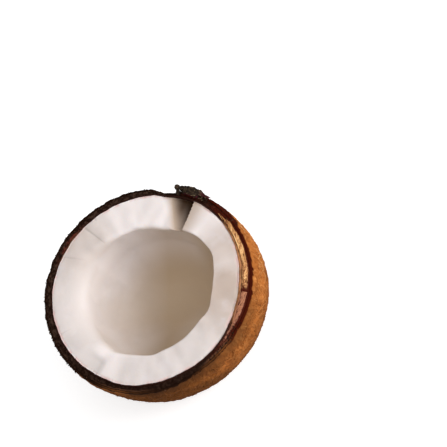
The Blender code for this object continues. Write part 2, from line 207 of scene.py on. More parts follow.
@dataclass(frozen=True)
class NutForm:
    """The form that all layers of the nut share."""

    rim_height: float = 59.0 * MM
    gap: float = 0.25 * MM
    rounding: float = 2.0 / 2.4
    flesh_radius: float = 48.7 * MM
    flesh_depth: float = 54.0 * MM
    skin_wall: float = 0.5 * MM
    shell_wall: float = 2.4 * MM
    coat_wall: float = 0.8 * MM
    side_push: float = 0.9 * MM
    side_push_at: float = math.radians(116.0)
    long_way: float = 1.3 * MM
    long_way_at: float = math.radians(121.0)
    three_sided: float = 0.5 * MM
    uneven: Ramp = Ramp(9.0 * MM, 27.0 * MM)
    bulge: float = 0.8 * MM
    swell: Hill = Hill(2.8 * MM, -47.0, 60.0)
    bulge_rise: float = 0.7
    dip: float = 5.5 * MM
    dip_at: float = math.radians(-42.0)
    dip_reach: float = math.radians(55.0)
    dip_fade: float = 16.0 * MM
    roughness: float = 0.45 * MM
    chip_level: float = 0.8
    chips_across: Ramp = Ramp(0.0, 0.3)
    chips: tuple[Ripple, ...] = (Ripple(1.0, 14.0, length=2.5 * MM), Ripple(0.6, 31.0, length=2.5 * MM))
    wobbles: tuple[Ripple, ...] = (Ripple(0.32 * MM, 8.0, 2.0), Ripple(0.16 * MM, 21.6, 5.0))
    wobbles_from: float = 0.9
    squeeze_from: float = 0.8
    wider: tuple[Hill, ...] = (
        Hill(1.1 * MM, -84.0, 34.0),
        Hill(0.7 * MM, -145.0, 16.0),
        Hill(-0.9 * MM, 32.0, 14.0),
    )
    thinner: Hill = Hill(0.8 * MM, 46.0, 14.0)
    flake_from: float = math.radians(25.0)
    flake_to: float = math.radians(44.5)
    flake_depth: float = 9.0 * MM
    flake_depth_outside: float = 13.0 * MM
    flake_wall_left: float = 0.9 * MM
    flake_roundness: float = 3.0
    flake_steepness: float = 0.6
    flake_ragged: tuple[Ripple, ...] = (Ripple(0.16, 40.0, 7.0), Ripple(0.08, 95.0, 2.0))

    @property
    def skin_radius(self) -> float:
        """Outer radius of the seed skin at the cut face."""
        return self.flesh_radius + self.gap + self.skin_wall

    @property
    def shell_radius(self) -> float:
        """Outer radius of the shell at the cut face."""
        return self.skin_radius + self.gap + self.shell_wall

    @property
    def coat_radius(self) -> float:
        """Outer radius of the fibre coat at the cut face."""
        return self.shell_radius + self.gap + self.coat_wall

    def depth_of(self, radius: float) -> float:
        """How deep a layer of this outer radius reaches below the cut face."""
        return self.flesh_depth + radius - self.flesh_radius

    def lobes(self, angle: float) -> float:
        """How much wider or narrower the nut is at this angle, as a factor."""
        wider = self.side_push * math.cos(angle - self.side_push_at)
        wider += self.long_way * math.cos(2.0 * (angle - self.long_way_at))
        wider += self.three_sided * math.cos(3.0 * angle)
        return 1.0 + wider / self.flesh_radius

    def swelling(self, angle: float, height: float) -> float:
        """How much wider the nut is here than a plain round back, as a factor."""
        wider = self.bulge + self.swell.at(angle)
        share = between(self.rim_height - height, 0.0, self.rim_height)
        return 1.0 + wider / self.coat_radius * math.sin(math.pi * share**self.bulge_rise)

    def placed(self, angle: float, radius: float, height: float) -> Vector:
        """The point in the nut's own form, with its lobes and its swelling."""
        own = self.lobes(angle) * self.swelling(angle, height) - 1.0
        return at(angle, radius * (1.0 + self.uneven.of(radius) * own), height)

    def dip_share(self, angle: float) -> float:
        """How much of the dip the edge has at this angle, from 0 to 1."""
        away = min(1.0, abs(turned(angle, self.dip_at)) / self.dip_reach)
        return math.cos(math.pi / 2.0 * away)

    def edge_drop(self, angle: float, radius: float) -> float:
        """How far the edge lies below the cut face at this angle and radius."""
        across = between(radius, self.flesh_radius, self.coat_radius)
        chips = self.roughness * (self.chip_level + summed(self.chips, angle, radius))
        return across * self.dip * self.dip_share(angle) + self.chips_across.of(across) * chips

    def squeezed(self, angle: float, radius: float) -> float:
        """How far this radius lies further out at the edge, where its bands are narrower or wider."""
        inner = rising(radius, self.squeeze_from * self.flesh_radius, self.flesh_radius)
        inner *= 1.0 - between(radius, self.flesh_radius, self.shell_radius)
        outer = between(radius, self.skin_radius, self.coat_radius)
        return summed(self.wider, angle) * inner - self.thinner.at(angle) * outer

    def settled(self, angle: float, radius: float, height: float) -> Vector:
        """The point in the nut's own form, lowered where the edge dips and is rough."""
        fade = 1.0 - between(self.rim_height - height, 0.0, self.dip_fade)
        drop = Vector((0.0, 0.0, fade * self.edge_drop(angle, radius)))
        outer = rising(radius, self.wobbles_from * self.flesh_radius, self.flesh_radius)
        offset = outer * summed(self.wobbles, angle) + self.squeezed(angle, radius)
        return self.placed(angle, radius + fade * offset, height) - drop

    def side(self, radius: float, turn: float) -> tuple[float, float]:
        """Radius and height of a point down a layer's side, at a turn from 0 at the top to half pi."""
        across = radius * max(0.0, math.cos(turn)) ** self.rounding
        return across, self.rim_height - self.depth_of(radius) * max(0.0, math.sin(turn)) ** self.rounding

    def turn_at(self, radius: float, last_radius: float) -> float:
        """The turn at which the side of a layer of this radius has come in to last_radius."""
        return math.acos((last_radius / radius) ** (1.0 / self.rounding))

    def flake(self, angle: float) -> float:
        """How deep the missing flake reaches at this angle, as a share: 1 at its middle, 0 beside it."""
        half = turned(self.flake_to, self.flake_from) / 2.0
        away = abs(turned(angle, self.flake_from + half)) / half
        deep = max(0.0, 1.0 - away**self.flake_roundness) ** self.flake_steepness
        return deep * (1.0 + summed(self.flake_ragged, angle))


@dataclass(frozen=True)
class Row:
    """One row of a turned mesh, before the layer's own rule moves it.

    Attributes:
        zone: The part of the layer that the row lies on.
        share: How far along its zone the row lies, from 0 to 1.
        radius: Radius of the row in the plain turned form.
        height: Height of the row in the plain turned form.
    """

    zone: Zone
    share: float
    radius: float
    height: float


Rule = Callable[[float, Row], tuple[Vector, Masks]]


def rows_of(form: NutForm, zone: Zone, radius: float, count: int, last: float = 0.0) -> list[Row]:
    """Rows down one side of a layer.

    Args:
        form: The nut's form.
        zone: The zone that the rows lie on.
        radius: Radius of the side at the cut face.
        count: How many steps there are from the first row to the last.
        last: Radius of the last row.

    Returns:
        The rows, from the cut face down.
    """
    last_turn = form.turn_at(radius, last)
    rows = []
    for number in range(count + 1):
        across, height = form.side(radius, last_turn * number / count)
        rows.append(Row(zone, number / count, last if number == count else across, height))
    return rows


def rows_across(form: NutForm, outer: float, inner: float, count: int) -> list[Row]:
    """Rows across the cut face, between these radii and without both of them."""
    shares = [number / count for number in range(1, count)]
    return [Row(Zone.TOP, share, blend(outer, inner, share), form.rim_height) for share in shares]


def mesh_of(name: str, shape: bmesh.types.BMesh) -> bpy.types.Mesh:
    """The finished shape as a mesh."""
    mesh = bpy.data.meshes.new(name)
    shape.to_mesh(mesh)
    shape.free()
    return mesh


def mark(mesh: bpy.types.Mesh, values: dict[str, Sequence[float]]) -> None:
    """Writes these named values onto the vertices of a mesh."""
    for name, numbers in values.items():
        mesh.attributes.new(name, "FLOAT", "POINT").data.foreach_set("value", numbers)


def turned_mesh(
    name: str, rows: Sequence[Row], steps: int, closed: bool, mask_names: Sequence[str], rule: Rule
) -> bpy.types.Object:
    """A layer that is turned round Z from its rows and then given its own shape.

    Args:
        name: Name of the piece.
        rows: The rows of its profile, which end on the axis unless closed is true.
        steps: How many steps the turn has, a multiple of 16, as it is made from one wedge that is doubled.
        closed: Whether the profile closes on itself.
        mask_names: Names of the values that the rule gives with each place.
        rule: Gives the place and the mask values for an angle and a row.

    Returns:
        The piece.
    """
    shape = bmesh.new()
    layer = shape.verts.layers.int.new("row")
    corners = []
    for number, row in enumerate(rows):
        corner = shape.verts.new((row.radius, 0.0, row.height))
        corner[layer] = number
        corners.append(corner)
    edges = [shape.edges.new(pair) for pair in zip(corners, corners[1:])]
    if closed:
        edges.append(shape.edges.new((corners[-1], corners[0])))
    bmesh.ops.spin(
        shape,
        geom=corners + edges,
        cent=(0.0, 0.0, 0.0),
        axis=(0.0, 0.0, 1.0),
        angle=math.tau / 2**DOUBLINGS,
        steps=steps // 2**DOUBLINGS,
    )
    for doubling in reversed(range(DOUBLINGS)):
        whole = shape.verts[:] + shape.edges[:] + shape.faces[:]
        copied = bmesh.ops.duplicate(shape, geom=whole)["geom"]
        bmesh.ops.rotate(
            shape,
            cent=(0.0, 0.0, 0.0),
            matrix=Matrix.Rotation(math.tau / 2 ** (doubling + 1), 3, "Z"),
            verts=[item for item in copied if isinstance(item, bmesh.types.BMVert)],
        )
    bmesh.ops.remove_doubles(shape, verts=shape.verts, dist=DOUBLES_WITHIN)
    bmesh.ops.recalc_face_normals(shape, faces=shape.faces)
    values: list[Masks] = []
    for vertex in shape.verts:
        angle = math.atan2(vertex.co.y, vertex.co.x)
        vertex.co, masks = rule(angle, rows[vertex[layer]])
        values.append(masks)
    shape.verts.layers.int.remove(layer)
    mesh = mesh_of(name, shape)
    mark(mesh, dict(zip(mask_names, zip(*values))))
    return added(name, mesh)


def added(name: str, mesh: bpy.types.Mesh) -> bpy.types.Object:
    """The mesh as a named object in the scene, shaded smooth."""
    mesh.shade_smooth()
    piece = bpy.data.objects.new(name, mesh)
    bpy.context.scene.collection.objects.link(piece)
    return piece


def dressed(
    piece: bpy.types.Object, material: bpy.types.Material, slot: str, *nodes: str
) -> bpy.types.Object:
    """Gives a piece its material and its place in the frame.

    Args:
        piece: The piece to dress.
        material: Its material.
        slot: The record's material slot of the piece; not used.
        nodes: The CAD nodes that it stands for.

    Returns:
        The piece.
    """
    piece.data.materials.clear()
    piece.data.materials.append(material)
    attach(piece, BODY)
    if nodes:
        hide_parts(*nodes)
    piece.data.calc_loop_triangles()
    LOG.info("%s: %d triangles", piece.name, len(piece.data.loop_triangles))
    return piece


class Wire:
    """A shader value. Used in an expression, it adds the Math nodes that work the expression out."""

    def __init__(self, net: "Net", socket: bpy.types.NodeSocket) -> None:
        """Wraps a socket of the net."""
        self.net = net
        self.socket = socket

    def _math(self, operation: str, first: "Wire | float", second: "Wire | float") -> "Wire":
        """The result of one Math node with these two values."""
        made = self.net.node("ShaderNodeMath", {"operation": operation}, {0: first, 1: second})
        return Wire(self.net, made.outputs[0])

    def __add__(self, other: "Wire | float") -> "Wire":
        """The sum."""
        return self._math("ADD", self, other)

    def __radd__(self, other: float) -> "Wire":
        """The sum, with the number first."""
        return self._math("ADD", other, self)

    def __sub__(self, other: "Wire | float") -> "Wire":
        """The difference."""
        return self._math("SUBTRACT", self, other)

    def __rsub__(self, other: float) -> "Wire":
        """The difference, with the number first."""
        return self._math("SUBTRACT", other, self)

    def __mul__(self, other: "Wire | float") -> "Wire":
        """The product."""
        return self._math("MULTIPLY", self, other)

    def __rmul__(self, other: float) -> "Wire":
        """The product, with the number first."""
        return self._math("MULTIPLY", other, self)

    def rising(self, low: float, high: float) -> "Wire":
        """A smooth rise from 0 at low to 1 at high."""
        settings = {"interpolation_type": "SMOOTHSTEP"}
        feeds = {"Value": self, "From Min": low, "From Max": high}
        made = self.net.node("ShaderNodeMapRange", settings, feeds)
        return Wire(self.net, made.outputs["Result"])

    def spread(self, least: float, more: float) -> "Wire":
        """This value from 0 to 1, spread from least to more above it."""
        return least + more * self

    def about(self, middle: float, width: float) -> "Wire":
        """This noise, spread over a width about a middle value."""
        return middle + width * (self - 0.5)


Feed = Wire | float | Sequence[float]
MIX_FACTOR, MIX_A, MIX_B, MIX_RESULT = 0, 6, 7, 2


@dataclass(frozen=True)
class Grain:
    """A noise that a finish reads.

    Attributes:
        scale: How many waves there are in a metre.
        detail: How many finer waves are laid over them.
        between: The range that is spread over 0 to 1, or None for the plain noise.
        stretch: How much denser the waves are along each axis.
    """

    scale: float
    detail: float
    between: tuple[float, float] | None = None
    stretch: tuple[float, float, float] = (1.0, 1.0, 1.0)


class Net:
    """The nodes of one material."""

    def __init__(self, name: str) -> None:
        """Starts a material with its own shader."""
        self.material = bpy.data.materials.new(name)
        self.material.use_nodes = True
        self.tree = self.material.node_tree
        self.shader = self.tree.nodes["Principled BSDF"]

    def node(self, kind: str, settings: dict[str, object], feeds: dict[str | int, Feed]) -> bpy.types.Node:
        """Adds a node.

        Args:
            kind: The node's type.
            settings: Its settings, which are made first.
            feeds: A value or a wire for each socket, by name or number.

        Returns:
            The node.
        """
        made = self.tree.nodes.new(kind)
        for name, value in settings.items():
            setattr(made, name, value)
        self.feed(made, feeds)
        return made

    def feed(self, node: bpy.types.Node, feeds: dict[str | int, Feed]) -> None:
        """Sets or links the sockets of a node."""
        for name, value in feeds.items():
            if isinstance(value, Wire):
                self.tree.links.new(value.socket, node.inputs[name])
            else:
                node.inputs[name].default_value = value

    def mask(self, name: str) -> Wire:
        """A value that the mesh carries at each vertex."""
        made = self.node("ShaderNodeAttribute", {"attribute_name": name}, {})
        return Wire(self, made.outputs["Fac"])

    def places(self) -> Wire:
        """The place on the piece, in metres."""
        return Wire(self, self.node("ShaderNodeTexCoord", {}, {}).outputs["Object"])

    def noise(self, grain: Grain) -> Wire:
        """The noise of this grain over the piece, about 0.5 on average, or cut to its range."""
        where = self.node("ShaderNodeMapping", {}, {"Vector": self.places(), "Scale": grain.stretch})
        feeds = {"Vector": Wire(self, where.outputs[0]), "Scale": grain.scale, "Detail": grain.detail}
        found = Wire(self, self.node("ShaderNodeTexNoise", {}, feeds).outputs["Fac"])
        return found.rising(*grain.between) if grain.between else found

    def mixed(self, share: Wire | float, first: Wire | Colour, second: Wire | Colour) -> Wire:
        """The colour at this share of the way from first to second."""
        one, other = (end if isinstance(end, Wire) else (*end, 1.0) for end in (first, second))
        feeds = {MIX_FACTOR: share, MIX_A: one, MIX_B: other}
        return Wire(self, self.node("ShaderNodeMix", {"data_type": "RGBA"}, feeds).outputs[MIX_RESULT])

    def bumped(self, height: Wire, distance: float) -> Wire:
        """A normal that follows this height, at this distance for a height of 1."""
        made = self.node("ShaderNodeBump", {}, {"Height": height, "Distance": distance, "Strength": 1.0})
        return Wire(self, made.outputs["Normal"])

    def matt(
        self, colour: Wire, roughness: Wire | float, gloss: float, normal: Wire | None = None
    ) -> bpy.types.Material:
        """Makes a matt surface of the material, with this gloss and, where it has a relief, this normal."""
        feeds = {"Base Color": colour, "Roughness": roughness, "Specular IOR Level": gloss}
        return self.surface(feeds | ({"Normal": normal} if normal else {}))

    def surface(self, feeds: dict[str | int, Feed]) -> bpy.types.Material:
        """Sets the shader's own sockets and gives the material."""
        self.feed(self.shader, feeds)
        return self.material


@dataclass(frozen=True)
class FleshFinish:
    """Moist white flesh, beige in the hollow, with greyish cracks; painted shade lies over parts of the cut
    face, makes most of the hollow's beige, greys the cracks and darkens the notch as its painted shadow.
    """

    white: Colour = (0.86, 0.785, 0.765)
    # Painted shade, laid on darker parts of the cut face, its rolled lip and the hollow's wall.
    shade: Colour = (0.70, 0.63, 0.60)
    # Warm painted shade, where the cut face is darker and warmer.
    warm_shade: Colour = (0.56, 0.45, 0.385)
    pearl: Colour = (0.78, 0.72, 0.76)
    # The hollow's beige, most of it painted shade.
    deep: Colour = (0.47, 0.354, 0.238)
    # Painted shade in the cracks and over the facet.
    crack_shade: Colour = (0.34, 0.30, 0.26)
    # The notch's painted shadow: half_shadow at its soft edge, notch_shadow where it is darkest.
    half_shadow: Colour = (0.46, 0.35, 0.27)
    notch_shadow: Colour = (0.048, 0.021, 0.007)
    blush: Colour = (0.74, 0.50, 0.47)
    patches: Grain = Grain(75.0, 4.0, (0.35, 0.70))
    grain: Grain = Grain(900.0, 4.0)
    pearls: tuple[Grain, Grain] = (Grain(62.0, 3.0, (0.5, 0.68)), Grain(210.0, 2.0, (0.35, 0.6)))
    blushes: Grain = Grain(190.0, 3.0, (0.40, 0.62))
    waves: Grain = Grain(130.0, 2.0)
    half_shadow_to: float = 0.5
    notch_shadow_from: float = 0.45
    roughness: tuple[float, float] = (0.48, 0.12)
    relief: float = 0.14 * MM
    grain_share: float = 0.3

    def material(self) -> bpy.types.Material:
        """Makes the material."""
        net = Net("moist_flesh")
        patches, grain = net.noise(self.patches), net.noise(self.grain)
        warm_shade, notch_shadow = net.mask("warm_shade"), net.mask("notch_shadow")
        shade = net.mask("shade") * patches.spread(least=0.75, more=0.4)
        colour = net.mixed(shade + patches.spread(least=0.0, more=0.16), self.white, self.shade)
        colour = net.mixed(warm_shade * patches.spread(least=0.8, more=0.3), colour, self.warm_shade)
        pearl = net.noise(self.pearls[0]) * net.noise(self.pearls[1])
        colour = net.mixed(pearl * warm_shade.spread(least=0.15, more=0.35), colour, self.pearl)
        colour = net.mixed(net.mask("blush") * net.noise(self.blushes), colour, self.blush)
        colour = net.mixed(net.mask("deep"), colour, self.deep)
        colour = net.mixed(net.mask("crack_shade"), colour, self.crack_shade)
        colour = net.mixed(notch_shadow * (1.0 / self.half_shadow_to), colour, self.half_shadow)
        dark = (notch_shadow - self.notch_shadow_from) * (1.0 / (1.0 - self.notch_shadow_from))
        return net.surface(
            {
                "Base Color": net.mixed(dark, colour, self.notch_shadow),
                "Roughness": grain.about(*self.roughness),
                "IOR": 1.4,
                "Subsurface Weight": 0.12,
                "Subsurface Radius": (1.0, 0.7, 0.5),
                "Subsurface Scale": 0.002,
                "Normal": net.bumped(grain * self.grain_share + net.noise(self.waves), self.relief),
            }
        )


@dataclass(frozen=True)
class SkinFinish:
    """Thin matt seed skin, reddish brown and orange where the edge broke away beside it."""

    brown: Colour = (0.035, 0.012, 0.008)
    orange: Colour = (0.46, 0.20, 0.085)
    dull_orange: Colour = (0.23, 0.10, 0.0425)
    flecks: Grain = Grain(420.0, 3.0)
    dull: tuple[float, float] = (0.35, 0.65)
    roughness: tuple[float, float] = (0.7, 0.2)
    gloss: float = 0.03
    relief: float = 0.3 * MM

    def material(self) -> bpy.types.Material:
        """Makes the material."""
        net = Net("seed_skin")
        flecks = net.noise(self.flecks)
        orange = net.mixed(flecks.rising(*self.dull), self.orange, self.dull_orange)
        colour = net.mixed(net.mask("bared"), self.brown, orange)
        return net.matt(colour, flecks.about(*self.roughness), self.gloss, net.bumped(flecks, self.relief))


@dataclass(frozen=True)
class ShellFinish:
    """Hard near-black shell, with golden fibre bared along the dip and a reddish part beside the skin."""

    black: Colour = (0.013, 0.0045, 0.0022)
    brown: Colour = (0.062, 0.034, 0.023)
    gold: Colour = (0.57, 0.30, 0.125)
    tan: Colour = (0.30, 0.12, 0.055)
    red: Colour = (0.16, 0.035, 0.022)
    maroon: Colour = (0.045, 0.0050, 0.0015)
    pinkish: Colour = (0.40, 0.175, 0.11)
    crust: Colour = (0.11, 0.045, 0.022)
    crust_share: float = 0.8
    coarse: Grain = Grain(240.0, 4.0)
    fine: Grain = Grain(1100.0, 3.0)
    mottling: Grain = Grain(480.0, 4.0, (0.42, 0.66))
    reds: Grain = Grain(240.0, 4.0, (0.38, 0.55))
    pinks: Grain = Grain(1100.0, 3.0, (0.36, 0.54))
    golds: Grain = Grain(1100.0, 3.0, (0.40, 0.62))
    roughness: tuple[float, float] = (0.6, 0.25)
    gloss: float = 0.03
    relief: float = 0.5 * MM
    fine_share: float = 0.5

    def material(self) -> bpy.types.Material:
        """Makes the material."""
        net = Net("hard_shell")
        coarse, fine = net.noise(self.coarse), net.noise(self.fine)
        colour = net.mixed(net.noise(self.mottling) * net.mask("mottled"), self.black, self.brown)
        colour = net.mixed(net.mask("maroon"), colour, self.maroon)
        colour = net.mixed(net.mask("red") * net.noise(self.reds), colour, self.red)
        colour = net.mixed(net.mask("outer") * self.crust_share, colour, self.crust)
        colour = net.mixed(net.mask("brown") * net.noise(self.pinks), colour, self.pinkish)
        colour = net.mixed(net.mask("gold"), colour, net.mixed(net.noise(self.golds), self.tan, self.gold))
        normal = net.bumped(coarse + fine * self.fine_share, self.relief)
        return net.matt(colour, coarse.about(*self.roughness), self.gloss, normal)


@dataclass(frozen=True)
class CoatFinish:
    """Matted husk fibre: orange-brown, darker with painted shade towards the bottom and along the lower edge,
    and near-black at the edge.
    """

    light: Colour = (0.54, 0.225, 0.064)
    orange: Colour = (0.35, 0.113, 0.025)
    dark: Colour = (0.16, 0.048, 0.012)
    # Painted shade: brown_and_underside_shade darkens the coat towards its underside.
    brown_and_underside_shade: Colour = (0.12, 0.041, 0.010)
    # Painted shade along the coat's lower edge.
    shaded: Colour = (0.062, 0.023, 0.008)
    edge: Colour = (0.016, 0.006, 0.003)
    red_edge: Colour = (0.040, 0.0045, 0.0012)
    streaks: tuple[Grain, tuple[float, float]] = (Grain(150.0, 5.0, None, (1.0, 1.0, 0.45)), (0.25, 0.60))
    threads: tuple[Grain, tuple[float, float]] = (Grain(620.0, 3.0, None, (1.0, 1.0, 0.35)), (0.45, 0.85))
    patches: tuple[Grain, tuple[float, float]] = (Grain(38.0, 3.0), (0.52, 0.75))
    light_share: float = 0.8
    dark_share: float = 0.3
    roughness: tuple[float, float] = (0.85, 0.15)
    gloss: float = 0.02
    relief: float = 0.8 * MM
    thread_share: float = 0.6

    def material(self) -> bpy.types.Material:
        """Makes the material."""
        net = Net("husk_coat")
        noises = [(net.noise(grain), limits) for grain, limits in (self.streaks, self.threads, self.patches)]
        streaks, threads, patches = (noise_wire for noise_wire, _ in noises)
        oranges, lights, darks = (noise_wire.rising(*limits) for noise_wire, limits in noises)
        colour = net.mixed(oranges, self.dark, self.orange)
        colour = net.mixed(lights * self.light_share, colour, self.light)
        colour = net.mixed(darks * self.dark_share, colour, self.dark)
        colour = net.mixed(net.mask("brown_and_underside_shade"), colour, self.brown_and_underside_shade)
        colour = net.mixed(net.mask("near") * patches.spread(least=0.7, more=0.6), colour, self.shaded)
        edge = net.mixed(net.mask("red"), self.edge, self.red_edge)
        colour = net.mixed(net.mask("edge"), colour, edge)
        normal = net.bumped(streaks + threads * self.thread_share, self.relief)
        return net.matt(colour, threads.about(*self.roughness), self.gloss, normal)


@dataclass(frozen=True)
class StrandFinish:
    """Single fibres, each with its own shade between a dark and a light colour, darkened with painted shade
    on the coat's underside and lower edge, and browner on part of the bared strands.
    """

    name: str
    dark: Colour
    middle: Colour
    light: Colour
    edge: Colour = (0.034, 0.0060, 0.002)
    brown_and_underside_shade: Colour = (0.105, 0.037, 0.011)
    under_share: float = 0.85
    middle_from: tuple[float, float] = (0.0, 0.55)
    light_from: tuple[float, float] = (0.6, 1.0)
    flecks: Grain = Grain(500.0, 2.0)
    roughness: tuple[float, float] = (0.75, 0.2)
    gloss: float = 0.03

    def material(self) -> bpy.types.Material:
        """Makes the material."""
        net = Net(self.name)
        shade = net.mask("shade")
        colour = net.mixed(shade.rising(*self.middle_from), self.dark, self.middle)
        colour = net.mixed(shade.rising(*self.light_from), colour, self.light)
        colour = net.mixed(net.mask("brown_and_underside_shade") * self.under_share, colour, self.brown_and_underside_shade)
        colour = net.mixed(net.mask("edge"), colour, self.edge)
        return net.matt(colour, net.noise(self.flecks).about(*self.roughness), self.gloss)


@dataclass(frozen=True)
class Crack:
    """A crack in the cut face.

    Attributes:
        outer: Angle in degrees and radius of its outer end.
        inner: Angle in degrees and radius of its inner end.
        half_width: Half its width.
        depth: Its depth.
        strength: How much painted shade lies in it, from 0 to 1.
        narrows: How much narrower its inner end is, as a share.
        fades: How much weaker its inner end is, as a share.
    """

    outer: tuple[float, float]
    inner: tuple[float, float]
    half_width: float
    depth: float
    strength: float
    narrows: float = 0.7
    fades: float = 0.5

    def share(self, angle: float, radius: float) -> float:
        """How much of the crack there is at this place, from 0 to 1."""
        start, end = (at(math.radians(turn), far, 0.0) for turn, far in (self.outer, self.inner))
        here = at(angle, radius, 0.0)
        way = end - start
        along = between((here - start).dot(way), 0.0, way.length_squared)
        away = (here - start - along * way).length
        width = self.half_width * (1.0 - self.narrows * along)
        return rising(away, width, 0.0) * (1.0 - self.fades * along)


@dataclass(frozen=True)
class Facet:
    """A shallow facet that broke out of the cut face, with one steep side that runs straight outwards.

    Attributes:
        step_at: Angle of its steep side, in degrees.
        ends_at: Angle where it has faded out, in degrees.
        inner: The ramp over which it sets in, by radius.
        outer: The ramp over which it ends, by radius.
        depth: Its depth at the steep side.
        strength: How much painted shade lies on it, from 0 to 1.
        step_width: Width of its steep side, as a share of the way to where it ends.
    """

    step_at: float
    ends_at: float
    inner: Ramp
    outer: Ramp
    depth: float
    strength: float
    step_width: float = 0.26

    def share(self, angle: float, radius: float) -> float:
        """How much of the facet there is at this place, from 0 to 1."""
        start = math.radians(self.step_at)
        along = turned(angle, start) / turned(math.radians(self.ends_at), start)
        if along < 0.0 or along > 1.0:
            return 0.0
        across = self.inner.of(radius) * self.outer.of(radius)
        return across * rising(along, 0.0, self.step_width) * rising(along, 1.0, self.step_width)


@dataclass(frozen=True)
class Notch:
    """The notch that broke out of the cut face beside the tuft, with one steep side and a ramp, and the
    painted shadow of its steep side over its floor.
    """

    wall: tuple[float, float] = (9.8, 15.4)
    ramp: tuple[float, float] = (27.0, 41.0)
    radii: tuple[float, float] = (30.0 * MM, 52.0 * MM)
    depths: tuple[float, float] = (2.6 * MM, 7.0 * MM)
    curve: float = 2.0
    starts: float = -0.5
    # brim: painted shade on the cut face beside the steep side, outside the notch.
    brim: float = 0.42
    brim_out: Ramp = Ramp(-0.1, 0.3)
    brim_away: Ramp = Ramp(0.7, 0.0)
    full_out: Ramp = Ramp(0.0, 0.7)
    inner_strength: float = 0.54
    shadow_from: tuple[float, float] = (0.28, 0.33)
    shadow_to: tuple[float, float] = (1.0, 0.92)
    shadow_in: Ramp = Ramp(-0.15, 0.1)

    def place(self, angle: float, radius: float) -> tuple[float, float]:
        """Where a place lies in the notch: its share of the way out, and from the steep side to the ramp."""
        share = (radius - self.radii[0]) / (self.radii[1] - self.radii[0])
        wall = math.radians(blend(*self.wall, share))
        ramp = math.radians(blend(*self.ramp, share))
        return share, turned(angle, wall) / (ramp - wall)

    def drop(self, share: float, away: float) -> float:
        """How far the notch lowers the cut face at this place in it."""
        if away < 0.0 or away > 1.0 or share < self.starts:
            return 0.0
        return blend(*self.depths, share) * (1.0 - away) ** self.curve

    def shadowed(self, share: float, away: float) -> float:
        """How much painted shadow the notch has at this place in it, from 0 to 1, with a little painted shade
        beside its steep side.
        """
        if share < self.starts:
            return 0.0
        if away < 0.0:
            return self.brim * self.brim_away.of(-away) * self.brim_out.of(share)
        out = self.full_out.of(share)
        shadow = rising(away, blend(*self.shadow_to, out), blend(*self.shadow_from, out))
        return shadow * blend(self.inner_strength, 1.0, out) * self.shadow_in.of(share)


@dataclass(frozen=True)
class Glow:
    """A part of the hollow with less painted shade, where more light reaches.

    Attributes:
        turn: How much of the painted shade it takes away, round the hollow.
        depth: Where it lies, by depth.
        radius: Where it lies, by distance from the axis.
    """

    turn: Hill | Stretch
    depth: Ramp
    radius: Ramp

    def at(self, angle: float, depth: float, radius: float) -> float:
        """How much painted shade it takes away at this place."""
        return self.turn.at(angle) * self.depth.of(depth) * self.radius.of(radius)


